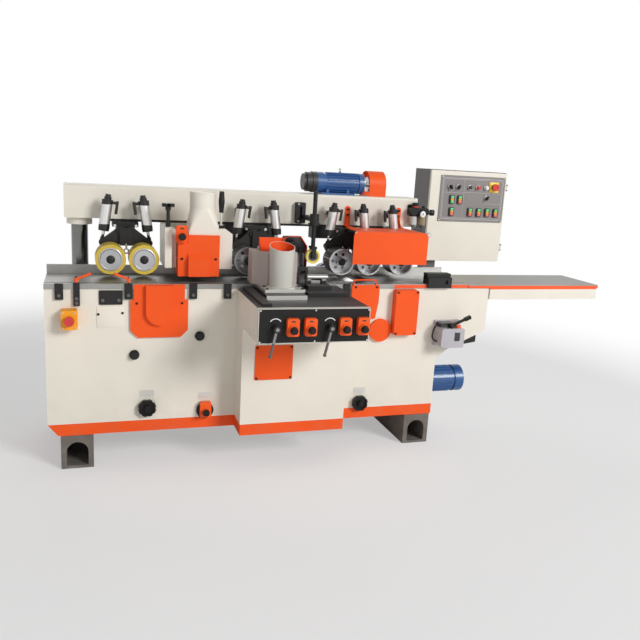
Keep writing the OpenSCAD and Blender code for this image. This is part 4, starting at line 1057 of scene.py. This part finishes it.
@dataclass
class ControlDesk:
    """Control box with its panel, position counters and lock levers."""

    shop: Workshop
    left: float = 868.0
    right: float = 1377.0
    bottom: float = 714.0
    top: float = 870.0
    face: float = -458.0
    rim: float = 4.0
    counter_xs: tuple[float, ...] = (1018.0, 1098.0, 1257.0, 1341.0)
    counter_z: float = 790.0
    low_knob: Point = (725.0, -41.0, 263.0)
    lever_xs: tuple[float, ...] = (945.0, 1190.0)
    lever_z: float = 785.0
    scale_radii: Flat = (30.0, 26.0)

    def dress(self) -> None:
        """Paints the CAD nodes."""
        lid = Zone(BLACK_IRON, low=(0.0, -440.0, self.top - 1.0), high=(3000.0, 10.0, 1000.0))
        bed_edge = Zone(PALE_STEEL, low=(930.0, -286.0, self.top), high=(1140.0, -283.5, 900.0))
        bar = Zone(GROUND_STEEL, low=(1196.0, -46.0, 917.0), high=(1330.0, -14.0, 960.0))
        paint(Finish("desk_ivory", IVORY, (lid, bed_edge, bar)), "control_box")
        pins = Zone(LEVER_STEEL, low=(0.0, -600.0, 700.0), high=(3000.0, self.face - 1.0, 900.0))
        paint(Finish("panel_black", BLACK_PLASTIC, (pins,)), "control_panel")
        knob = Zone(BLACK_PLASTIC, low=(800.0, -600.0, 700.0),
                    high=(1500.0, self.face - 34.5, 900.0))
        low_knob = Zone(BLACK_PLASTIC, low=(600.0, -70.0, 150.0), high=(800.0, -42.5, 400.0))
        paint(Finish("counter_orange", ORANGE_PLASTIC, (knob, low_knob)), "position_counters")
        for name, x in zip(("lock_lever_left", "lock_lever_right"), self.lever_xs):
            hub = Zone(BLACK_PLASTIC, shape=Shape.ROUND_Y, centre=(x, self.lever_z), radius=17.0)
            grip = Zone(DARK_GREY, low=(0.0, -900.0, 0.0), high=(3000.0, 0.0, self.lever_z - 62.0))
            paint(Finish(name + "_steel", LEVER_STEEL, (hub, grip)), name)

    def build(self) -> None:
        """Adds the panel's rim, screws, counter windows, knobs and scale arcs."""
        rim, wide = Maker(), self.rim
        x0, x1, z0, z1 = self.left, self.right, self.bottom, self.top
        for low, high in (((x0, z0), (x1, z0 + wide)), ((x0, z1 - wide), (x1, z1)),
                          ((x0, z0), (x0 + wide, z1)), ((x1 - wide, z0), (x1, z1))):
            rim.block((low[0], self.face - 2.0, low[1]), (high[0], self.face + 2.0, high[1]), 1.0)
        rim.piece("panel_rim", PAINT_GREY, "base")
        screws = [(x, self.face - 3.0, z) for x in (x0 + 9, (x0 + x1) / 2.0, x1 - 9)
                  for z in (z0 + 9, z1 - 9)]
        self.shop.front_screws("panel_screws", screws, 4.0, "base", STEEL_BRIGHT)
        windows, knobs = Maker(), Maker()
        for x in self.counter_xs:
            windows.block((x - 9, self.face - 26.4, self.counter_z + 23),
                          (x + 9, self.face - 25.0, self.counter_z + 30), 0.6)
            self.shop.add_knob(knobs, (x, self.face - 33.0, self.counter_z - 10))
        windows.piece("counter_windows", GLASS_DARK, "base")
        self.shop.add_knob(knobs, self.low_knob)
        knobs.piece("counter_knobs", PLASTIC_BLACK, "base")
        arcs, (outer, inner) = Maker(), self.scale_radii
        for x in self.lever_xs:
            middle = (x, self.lever_z + 12)
            outline = arc(middle, outer, 35, 145, 10) + arc(middle, inner, 145, 35, 10)
            arcs.slab(outline, self.face - 0.6, self.face + 0.5)
        arcs.piece("scale_arcs", PLASTIC_WHITE, "base")


@dataclass
class FeedBeam:
    """Beam with hangers, air cylinders, feed motor, guards, air unit, rollers and press wheel."""

    shop: Workshop
    bottom: float = 1155.0
    front: float = 355.0
    hangers: tuple[float, ...] = (367.0, 1021.5, 1518.5, 1702.5)
    carried: tuple[tuple[int, int], ...] = (
        (0, -1), (0, 1), (1, -1), (1, 1), (2, -1), (2, 1), (3, 1))
    lug_reach: float = 112.0
    last_lug_reach: float = 98.0
    roller_reach: float = 76.5
    roller_z: float = 985.0
    roller_face: float = 127.0
    yellow_rollers: int = 2
    straps: tuple[float, ...] = (1539.0, 1840.0)
    bracket_x: float = 1252.0
    gear_case: tuple[Point, Point] = ((836.0, 360.0, 1010.0), (1140.0, 424.0, 1144.0))
    ring_y: float = 247.0
    air_x: float = 1895.0
    press_wheel: Flat = (1290.0, 1009.0)

    def lug(self, index: int) -> float:
        """Where a cylinder's rod meets its arm.

        Args:
            index: number of the cylinder, from 0.

        Returns:
            The x of the arm's lug.
        """
        hanger, side = self.carried[index]
        last = index == len(self.carried) - 1
        return self.hangers[hanger] + side * (self.last_lug_reach if last else self.lug_reach)

    def roller_x(self, index: int) -> float:
        """The x of a feed roller's axis, by its number from 0."""
        hanger, side = self.carried[index]
        return self.hangers[hanger] + side * self.roller_reach

    def dress(self) -> None:
        """Paints the CAD nodes."""
        paint(PAINT_IVORY, "feed_beam")
        paint(IRON, "hanger_rail", "hold_down_stand")
        self.dress_cylinders()
        gear = Zone(BLACK_IRON, low=(1290.0, 0.0, 1300.0), high=(1372.0, 900.0, 1500.0))
        eyebolt = Zone(BRIGHT_STEEL, low=(1480.0, 0.0, 1435.5), high=(1540.0, 900.0, 1500.0))
        shaft = Zone(BRIGHT_STEEL, low=(1641.0, 0.0, 1300.0), high=(1800.0, 900.0, 1500.0))
        paint(Finish("feed_motor_blue", BLUE, (gear, shaft, eyebolt)), "feed_motor")
        paint(PAINT_ORANGE, "beam_guards")
        low, high = self.bottom + 14.5, self.bottom + 70.0
        glass = [Zone(coat, low=(x, 0.0, low), high=(x + 50.0, 900.0, high))
                 for coat, x in ((CLEAR_BOWL, 1894.0), (SMOKED_BOWL, 1945.0))]
        paint(Finish("air_unit_black", BLACK_PLASTIC, tuple(glass)), "air_service_unit")
        hub = Zone(DARK_STEEL, shape=Shape.ROUND_Y, centre=self.press_wheel, radius=25.0)
        paint(Finish("press_wheel_yellow", WHEEL_YELLOW, (hub,)), "press_wheel")
        for i in range(len(self.carried)):
            self.dress_arm(i)
            self.dress_roller(i)

    def dress_cylinders(self) -> None:
        """Paints the air cylinders: bright barrels with dark ends, elbows and brackets."""
        dark = [Zone.below(BLACK_PLASTIC, 1136.5), Zone.above(BLACK_PLASTIC, 1231.0),
                Zone(BLACK_IRON, low=(-FAR, 306.0, 900.0), high=(FAR, 400.0, 1400.0))]
        for i, (_, side) in enumerate(self.carried):
            ends = sorted((self.lug(i) - side * 54.5, self.lug(i) - side * 92.0))
            dark.append(Zone(BLACK_PLASTIC, low=(ends[0], 200.0, 1100.0),
                             high=(ends[1], 400.0, 1300.0)))
        paint(Finish("cylinder_silver", ALUMINIUM, tuple(dark)), "air_cylinders")

    def dress_arm(self, index: int) -> None:
        """Paints a pressure arm, with the bright rod of its cylinder.

        Args:
            index: number of the arm, from 0.
        """
        lug = self.lug(index)
        neck = Zone(BRIGHT_STEEL, low=(lug - 14.0, 200.0, 1086.0), high=(lug + 14.0, 400.0, 1102.5))
        rod = Zone(BRIGHT_STEEL, low=(lug - 34.0, 200.0, 1102.5), high=(lug + 34.0, 400.0, 1300.0))
        name = f"pressure_arm_{index + 1}"
        paint(Finish(f"arm_iron_{index + 1}", ARM_IRON, (neck, rod)), name)

    def dress_roller(self, index: int) -> None:
        """Paints a feed roller: a bright disc with a yellow or a dark steel tread.

        Args:
            index: number of the roller, from 0.
        """
        name, coat, front, radius = "roller_steel", DARK_STEEL, 133.0, 64.0
        if index < self.yellow_rollers:
            name, coat, front, radius = "roller_yellow", POLYURETHANE, -FAR, 54.5
        tread = Zone(coat, low=(-FAR, front, -FAR), shape=Shape.ROUND_Y,
                     centre=(self.roller_x(index), self.roller_z), radius=radius, outside=True)
        paint(Finish(f"{name}_{index + 1}", ROLLER_DISC, (tread,)), f"feed_roller_{index + 1}")

    def build(self) -> None:
        """Adds screws, the rollers' gear case, ring bolts, the air unit's parts and roller hubs."""
        straps = [(x, 348.0, z) for x in self.straps for z in (1212.0, 1242.0)]
        self.shop.front_screws("strap_screws", straps, 7.0, "beam")
        brackets = [(self.bracket_x, 324.0, z) for z in (1172.0, 1262.0)]
        self.shop.front_screws("bracket_screws", brackets, 6.0, "beam", STEEL_GROUND)
        bolts = [(x + side * 50.0, 306.5, 1126.0) for x in self.hangers for side in (-1, 1)]
        self.shop.front_screws("hanger_bolts", bolts, 7.5, "beam", STEEL_BRIGHT)
        Maker().block(*self.gear_case, 6.0).piece("roller_gear_case", IRON, "beam")
        rings = Maker()
        for x in self.hangers[:3]:
            rings.rod((x, self.ring_y, 1046.0), (x, self.ring_y, 1022.0), 5.0)
            rings.ring((x, self.ring_y, 1010.0), 11.0, 4.0)
        rings.piece("hanger_ring_bolts", STEEL_BRIGHT, "beam")
        self.air_unit()
        self.roller_hubs()

    def air_unit(self) -> None:
        """Adds the gauge, the regulator's red ring and the collars of the bowls."""
        x0, z0, y, sides = self.air_x, self.bottom + 72.0, self.front - 30.0, 32
        x, face, z = x0 + 64, self.front - 71.5, z0 + 6
        dial = Maker().lathe([(17, 0), (17, 1.4), (16, 2.0)], (x, face, z), TO_OPERATOR, sides)
        dial.piece("gauge_face", PLASTIC_WHITE, "beam")
        pointer = Maker().rod((x, face - 1.5, z), (x, face - 3.5, z), 3.0)
        pointer.block((x - 0.8, face - 2.8, z), (x + 0.8, face - 1.8, z + 12))
        pointer.piece("gauge_pointer", PLASTIC_BLACK, "beam")
        ring = Maker().lathe([(18.4, 0), (18.8, 1), (18.8, 6), (18.4, 7)],
                             (x0 + 34, y, z0 + 40), UP, sides)
        ring.piece("regulator_ring", PLASTIC_RED, "beam")
        collars = Maker()
        for x in (x0 + 24, x0 + 76):
            collars.lathe([(23.2, 0), (23.8, 1), (23.8, 9), (23.2, 10)], (x, y, z0 - 9.0), UP,
                          sides)
            collars.lathe([(16, 0), (21, 2), (23.4, 5), (23.4, 6)], (x, y, z0 - 60.0), UP, sides)
        collars.piece("bowl_collars", PLASTIC_BLACK, "beam")

    def roller_hubs(self) -> None:
        """Adds each feed roller's dark hub nut, and the dished disc of the yellow ones."""
        y, z = self.roller_face, self.roller_z
        for i in range(len(self.carried)):
            x, body = self.roller_x(i), f"roller_{i + 1}"
            nut = Maker().lathe([(20, 0), (20, 3), (15, 6), (15, 12), (11, 14)], (x, y, z))
            nut.rod((x, y - 14.0, z), (x, y - 19.0, z), 10.0, 9.0, 6)
            nut.piece(f"roller_nut_{i + 1}", ARM_CASTING, body)
            if i < self.yellow_rollers:
                disc = Maker().lathe([(54, -0.5), (54, 2.2), (53, 2.8), (49, 2.8), (46, 0.8)],
                                     (x, y, z), TO_OPERATOR, 48)
                disc.piece(f"roller_disc_{i + 1}", STEEL_DISC, body)


@dataclass
class TopHead:
    """Top cutterhead with its carriage, hood, cover and lock lever."""

    shop: Workshop
    clamp_rod: Flat = (552.0, 118.0)
    cheek_top: float = 1145.0
    thread_pitch: float = 3.0
    thread_turns: int = 18
    cover_screws: tuple[Point, ...] = ((612.0, 58.5, 1002.0), (772.0, 58.5, 1002.0))
    window: tuple[Point, Point] = ((599.0, 33.2, 1144.0), (617.0, 35.0, 1151.0))
    knob: Point = (608.0, 26.0, 1111.0)
    hood_rim: Point = (717.0, 137.5, 1305.0)

    def dress(self) -> None:
        """Paints the CAD nodes."""
        knob = Zone(BLACK_PLASTIC, low=(0.0, 60.0, self.cheek_top + 0.8),
                    high=(3000.0, 160.0, 1400.0))
        paint(Finish("carriage_ivory", IVORY, (knob,)), "top_carriage")
        paint(PAINT_IVORY, "top_hood")
        counter_knob = Zone(BLACK_PLASTIC, low=(500.0, -100.0, 1000.0), high=(700.0, 25.5, 1200.0))
        paint(Finish("cover_orange", ORANGE, (counter_knob,)), "top_hood_cover")
        paint(PAINT_BLUE, "top_motor")
        paint(STEEL_BRIGHT, "top_cutterhead")
        rod = Zone(BRIGHT_STEEL, low=(0.0, 0.0, 1160.0), high=(3000.0, 300.0, 1221.0))
        paint(Finish("lock_grip", BLACK_PLASTIC, (rod,)), "top_lock_lever")

    def build(self) -> None:
        """Adds the clamp rod's thread, screws, the counter's window and knob, and a rim band."""
        start = self.cheek_top + 25.0
        turns = [(*self.clamp_rod, start + self.thread_pitch * i) for i in range(self.thread_turns)]
        self.shop.thread.piece("clamp_thread", point_guide(turns, UP), IRON, "top_head", Radius=9.0,
                               Pitch=self.thread_pitch)
        self.shop.front_screws("cover_screws_top", self.cover_screws, 6.0, "top_head")
        Maker().block(*self.window, 0.6).piece("top_counter_window", GLASS_DARK, "top_head")
        knob = Maker()
        self.shop.add_knob(knob, self.knob)
        knob.piece("top_counter_knob", PLASTIC_BLACK, "top_head")
        band = Maker().lathe([(61.2, 0), (62.2, 1.5), (62.2, 6), (61.2, 7.5)], self.hood_rim,
                             UP, 48)
        band.piece("hood_rim_band", PAINT_IVORY, "top_head")


@dataclass
class SideHead:
    """Side cutterhead with its slide and dust hood."""

    shop: Workshop
    middle: float = 1050.0
    outlet: Flat = (1044.0, -150.0)
    outlet_taper: float = 0.0316
    foot: float = 904.3

    def dress(self) -> None:
        """Paints the CAD nodes."""
        paint(Finish("pale_steel", PALE_STEEL), "side_slide")
        # Painted shade: the casing's outside is the outlet's grey paint, darkened to stand for its
        # side that faces away from the light.
        shaded_casing = Zone(SHADED_HOOD_GREY, low=(0.0, -400.0, self.foot), high=(3000.0, 100.0, 1200.0),
                      shape=Shape.ROUND_Z, centre=self.outlet, radius=54.5,
                      taper=self.outlet_taper, outside=True)
        flange = Zone(GREY, low=(0.0, -400.0, 900.0), high=(3000.0, -60.0, self.foot + 7.2),
                      shape=Shape.ROUND_Z, centre=self.outlet, radius=67.0)
        inside = Zone(ORANGE, low=(0.0, -400.0, self.foot + 3.5), high=(3000.0, 0.0, 1200.0),
                      shape=Shape.ROUND_Z, centre=self.outlet, radius=51.2,
                      taper=self.outlet_taper)
        deflector = Zone(ORANGE, low=(900.0, -70.0, 1062.3), high=(1200.0, 20.0, 1200.0))
        paint(Finish("side_hood_grey", GREY, (shaded_casing, flange, inside, deflector)), "side_hood")
        paint(STEEL_BRIGHT, "side_cutterhead")

    def build(self) -> None:
        """Adds the slide plate's screws."""
        screws = [(self.middle + side * 84.0, y, self.foot + 1.2) for side in (-1, 1)
                  for y in (-203.0, -135.0)]
        self.shop.screws.piece("slide_screws", point_guide(screws, UP), PLASTIC_BLACK, "side_head",
                               Head_Radius=7.0, Head_Height=6.0)


class Cap(Enum):
    """Colours of the two push buttons in a block."""

    START_STOP = (PLASTIC_GREEN, PLASTIC_PINK)
    START_START = (PLASTIC_GREEN, PLASTIC_GREEN)


@dataclass
class ElectricCabinet:
    """Electric cabinet with its door, switch panel, buttons and lamps.

    Places on the panel are measured from the plate's left edge and down from the cabinet's top.
    """

    shop: Workshop
    left: float = 2145.0
    back_vent_x: float = 2406.0
    back: float = 809.0
    top: float = 1481.0
    plate_y: float = 584.0
    plate_left: float = 2209.0
    plate_right: float = 2652.0
    plate_bottom: float = 1175.0
    plate_top: float = 1451.0
    pairs: tuple[tuple[float, float, Cap], ...] = (
        (81.0, 173.0, Cap.START_START), (134.0, 173.0, Cap.START_STOP),
        (84.0, 246.0, Cap.START_STOP), (211.0, 246.0, Cap.START_STOP),
        (271.0, 246.0, Cap.START_STOP), (330.0, 246.0, Cap.START_STOP),
        (389.0, 246.0, Cap.START_STOP))
    selectors: tuple[Point, ...] = ((64, 98, -25), (118, 98, 25), (318, 158, 35))
    push_button: Flat = (196, 97)
    lamps: tuple[tuple[str, Flat, Finish], ...] = (
        ("fault_lamp", (253, 96), PLASTIC_RED), ("ready_lamp", (309, 96), PLASTIC_WHITE))
    bezel: tuple[Flat, ...] = ((16, 0), (16, 4), (13, 7))
    dome: tuple[Flat, ...] = ((12.5, 0), (12.5, 8), (11, 13), (7, 16), (1, 17))
    stop: Flat = (2574.0, 1390.0)
    stop_half: float = 31.0
    door_lock: Point = (2162.0, 588.5, 1090.0)
    vent_zs: tuple[float, ...] = tuple(1010.0 + 16.0 * i for i in range(9))

    def dress(self) -> None:
        """Paints the CAD nodes."""
        paint(PAINT_DARK, "electric_cabinet")
        paint(PAINT_IVORY, "cabinet_door")
        blocks = Zone(BLACK_PLASTIC, low=(2000.0, 500.0, 1100.0),
                      high=(2700.0, self.plate_y - 0.4, 1500.0))
        paint(Finish("switch_plate", PANEL_LAMINATE, (blocks,)), "switch_panel")
        paint(PLASTIC_RED, "main_stop_button")

    def spot(self, across: float, down: float, out: float) -> Point:
        """A place in front of the switch panel.

        Args:
            across: distance from the plate's left edge.
            down: distance from the cabinet's top.
            out: distance in front of the plate.

        Returns:
            The place.
        """
        return (self.plate_left + across, self.plate_y - out, self.top - down)

    def build(self) -> None:
        """Adds push buttons, switches, lamps, panel lines and cabinet fittings."""
        self.push_buttons()
        self.switches()
        x, z = self.stop
        half, y = self.stop_half, self.plate_y
        plate = Maker().block((x - half, y - 3.0, z - half), (x + half, y + 0.5, z + half), 1.0)
        plate.piece("stop_backplate", PLASTIC_YELLOW, "door")
        self.panel_lines()
        self.cabinet_fittings()

    def push_buttons(self) -> None:
        """Adds the two caps and the lamp of each push button block."""
        caps = {PLASTIC_GREEN: Maker(), PLASTIC_PINK: Maker()}
        lamps = Maker()
        for across, down, cap in self.pairs:
            x, y, z = self.spot(across, down, 8)
            upper, lower = cap.value
            caps[upper].block((x - 10, y - 5, z + 6), (x + 10, y, z + 22), 1.5)
            caps[lower].block((x - 10, y - 5, z - 22), (x + 10, y, z - 6), 1.5)
            lamps.block((x - 10, y - 4, z - 5), (x + 10, y, z + 5), 1.0)
        for name, finish in (("start_caps", PLASTIC_GREEN), ("stop_caps", PLASTIC_PINK)):
            caps[finish].piece(name, finish, "door")
        lamps.piece("pair_lamps", PLASTIC_AMBER, "door")

    def switches(self) -> None:
        """Adds the bezels, the selectors' grips and the lamps' domes."""
        bezels, grips = Maker(), Maker()
        for across, down, turn in self.selectors:
            x, y, z = self.spot(across, down, 0)
            bezels.lathe(self.bezel, (x, y - 1, z))
            cos, sin = math.cos(math.radians(turn)), math.sin(math.radians(turn))
            corners = [(x + cos * sx * 4 + sin * sz * 14, z - sin * sx * 4 + cos * sz * 14)
                       for sx, sz in ((1, 1), (-1, 1), (-1, -1), (1, -1))]
            grips.slab(corners, y - 24, y - 6, 1.2)
        for across, down in (self.push_button, *(spot for _, spot, _ in self.lamps)):
            bezels.lathe(self.bezel, self.spot(across, down, 1))
        bezels.piece("switch_bezels", STEEL_BRIGHT, "door")
        grips.piece("selector_grips", PLASTIC_BLACK, "door")
        for name, (across, down), finish in self.lamps:
            Maker().lathe(self.dome, self.spot(across, down, 6)).piece(name, finish, "door")

    def panel_lines(self) -> None:
        """Adds the pale border, the dividing lines and the corner screws of the switch panel."""
        y0, y1 = self.plate_y - 0.6, self.plate_y + 0.3
        x0, x1 = self.plate_left + 14, self.plate_right - 14
        z0, z1 = self.plate_bottom + 14, self.plate_top - 14
        split = self.plate_left + 160
        strips = [((split, z0 + 12), (split + 1.4, z1 - 12)), ((x0 + 12, 1348), (split, 1349.4)),
                  ((split, 1352), (x1 - 12, 1353.4)), ((split + 150, 1288), (x1 - 12, 1289.4))]
        border = []
        for step, width in ((0.0, 3.0), (8.0, 1.6)):
            a0, a1, b0, b1 = x0 + step, x1 - step, z0 + step, z1 - step
            border += [((a0, b0), (a1, b0 + width)), ((a0, b1 - width), (a1, b1)),
                       ((a0, b0), (a0 + width, b1)), ((a1 - width, b0), (a1, b1))]
        lines = Maker()
        for low, high in border + strips:
            lines.block((low[0], y0, low[1]), (high[0], y1, high[1]))
        lines.piece("panel_lines", LINE, "door")
        corners = [(x, self.plate_y - 1.5, z) for x in (self.plate_left + 8, self.plate_right - 8)
                   for z in (self.plate_bottom + 8, self.plate_top - 8)]
        self.shop.front_screws("plate_screws", corners, 4.5, "door", STEEL_BRIGHT)

    def cabinet_fittings(self) -> None:
        """Adds the door lock and the vents in the cabinet's left side and back."""
        lock = Maker().lathe([(14, 0), (14, 5), (11, 8)], self.door_lock)
        lock.piece("door_lock", STEEL_BRIGHT, "door")
        sides = [(self.left - 0.2, 709.0, z) for z in self.vent_zs]
        self.shop.vents("cabinet_vents", sides, (1.0, 110.0, 7.0))
        backs = [(self.back_vent_x, self.back + 0.2, z) for z in self.vent_zs]
        self.shop.vents("cabinet_back_vents", backs, (240.0, 1.0, 7.0))


@dataclass
class InfeedEnd:
    """Infeed table and the hand oil pump."""

    shop: Workshop
    pump_x: float = 1945.0
    pump_z: float = 566.0

    def dress(self) -> None:
        """Paints the CAD nodes."""
        apron = Zone.below(IVORY, 864.0)
        stripe = Zone(ORANGE, low=(2000.0, -20.0, 864.0), high=(3000.0, -4.0, 884.0))
        paint(Finish("infeed_steel", GROUND_STEEL, (apron, stripe)), "infeed_table")
        head_z = self.pump_z + 104.4
        head = Zone(BLACK_PLASTIC, low=(1900.0, -120.0, head_z), high=(2035.0, -10.5, 800.0))
        cap = Zone(ORANGE_PLASTIC, low=(2030.0, -120.0, head_z), high=(2100.0, -10.5, 800.0))
        paint(Finish("pump_grey", PUMP_SHELL, (head, cap)), "lube_pump")
        paint(PLASTIC_BLACK, "pump_lever")

    def build(self) -> None:
        """Adds the pump's window and its hose."""
        x, z = self.pump_x, self.pump_z
        window = Maker().block((x + 75, -91.5, z + 37), (x + 107, -89.5, z + 83), 1.0)
        window.piece("pump_window", GLASS_DARK, "base")
        hose = [(x + 8, -40, z + 114), (x - 24, -42, z + 112), (x - 34, -40, z + 40),
                (x + 4, -40, z + 22)]
        self.shop.tubes.piece("pump_hose", path_guide(hose), PLASTIC_BLACK, "base", Radius=4.0,
                              Bend=30.0)


# Stage


@dataclass(frozen=True)
class Lamp:
    """A square soft lamp that looks at the machine, in metres and watts."""

    name: str
    spot: Point
    size: float
    power: float
    aim: Point = (0.3, 0.0, 0.8)

    def build(self) -> None:
        """Adds the lamp."""
        light = bpy.data.lights.new(self.name, "AREA")
        light.size = self.size
        light.energy = self.power
        lamp = bpy.data.objects.new(self.name, light)
        lamp.location = self.spot
        lamp.rotation_mode = "QUATERNION"
        lamp.rotation_quaternion = (Vector(self.aim) - Vector(self.spot)).to_track_quat("-Z", "Y")
        bpy.context.scene.collection.objects.link(lamp)


@dataclass
class Studio:
    """Floor, light and the camera at the photograph's viewing angle."""

    eye: Point = (190.0, -3290.0, 1490.0)
    right: Point = (0.9503, -0.3065, 0.0562)
    up: Point = (0.0154, 0.2263, 0.9740)
    forward: Point = (0.3112, 0.9246, -0.2198)
    focal_px: float = 705.0
    frame_px: float = 640.0
    sensor: float = 36.0
    clip: Flat = (0.05, 200.0)
    floor_half: float = 60.0
    floor_grey: float = 0.86
    floor_lift: float = 0.38
    floor_fade: Flat = (1.7, 4.6)
    ambient: float = 0.22
    glossy_share: float = 0.75
    lamps: tuple[Lamp, ...] = (
        Lamp("key", (7.8, -11.5, 7.3), 4.6, 1560.0), Lamp("fill", (-3.6, -6.2, 3.4), 4.5, 34.0),
        Lamp("back", (0.5, 4.8, 4.6), 4.0, 80.0))

    def build(self) -> None:
        """Adds the floor, the world, the lamps and the camera."""
        self.floor()
        self.world()
        for lamp in self.lamps:
            lamp.build()
        self.camera()

    def floor_material(self) -> bpy.types.Material:
        """Makes the floor's paint, which fades into the background far from the machine.

        Returns:
            The material.
        """
        made = bpy.data.materials.new("floor_pale")
        made.use_nodes = True
        graph = Graph(made.node_tree)
        shader = made.node_tree.nodes["Principled BSDF"]
        shader.inputs["Base Color"].default_value = (*[self.floor_grey] * 3, 1.0)
        shader.inputs["Roughness"].default_value = 0.8
        reach = graph.node("ShaderNodeVectorMath", {"operation": "LENGTH"}, {0: graph.where()}, 1)
        lift = graph.node("ShaderNodeLightPath") * self.floor_lift
        share = reach.ramp(*self.floor_fade).math("MAXIMUM", lift)
        glow = graph.node("ShaderNodeEmission", {}, {"Color": WHITE, "Strength": 1.0})
        plain = Value(graph, shader.outputs[0])
        mixed = graph.node("ShaderNodeMixShader", {}, {0: share, 1: plain, 2: glow})
        output = made.node_tree.nodes["Material Output"]
        made.node_tree.links.new(mixed.socket, output.inputs["Surface"])
        return made

    def floor(self) -> None:
        """Adds the pale floor."""
        mesh = bpy.data.meshes.new("floor")
        half = self.floor_half
        corners = [(-half, -half, 0), (half, -half, 0), (half, half, 0), (-half, half, 0)]
        mesh.from_pydata(corners, [], [(0, 1, 2, 3)])
        mesh.materials.append(self.floor_material())
        floor = bpy.data.objects.new("floor", mesh)
        bpy.context.scene.collection.objects.link(floor)

    def world(self) -> None:
        """Sets a soft grey light that looks white to the camera and in reflections."""
        world = bpy.data.worlds.new("studio")
        bpy.context.scene.world = world
        world.use_nodes = True
        graph = Graph(world.node_tree)
        path = graph.node("ShaderNodeLightPath")
        glossy = graph.other(path, "Is Glossy Ray") * self.glossy_share
        seen = path + glossy + graph.other(path, "Is Transmission Ray")
        strength = self.ambient + seen.math("MINIMUM", 1.0) * (1.0 - self.ambient)
        background = world.node_tree.nodes["Background"]
        background.inputs["Color"].default_value = WHITE
        world.node_tree.links.new(strength.socket, background.inputs["Strength"])

    def camera(self) -> None:
        """Adds the camera that the photograph was fitted to."""
        data = bpy.data.cameras.new("camera")
        data.sensor_width = self.sensor
        data.lens = self.focal_px / self.frame_px * data.sensor_width
        data.clip_start, data.clip_end = self.clip
        camera = bpy.data.objects.new("camera", data)
        axes = Matrix((self.right, self.up, [-c for c in self.forward])).transposed().to_4x4()
        camera.matrix_world = Matrix.Translation(place(self.eye)) @ axes
        bpy.context.scene.collection.objects.link(camera)
        bpy.context.scene.camera = camera


def main() -> None:
    logging.basicConfig(level=logging.INFO, format="%(name)s %(message)s")
    bpy.context.scene.view_settings.view_transform = "Standard"
    shop = Workshop()
    for unit in (BaseUnit(shop), ControlDesk(shop), FeedBeam(shop), TopHead(shop), SideHead(shop),
                 ElectricCabinet(shop), InfeedEnd(shop)):
        log.info("building %s", type(unit).__name__)
        unit.dress()
        unit.build()
    Studio().build()


if __name__ == "__main__":
    main()
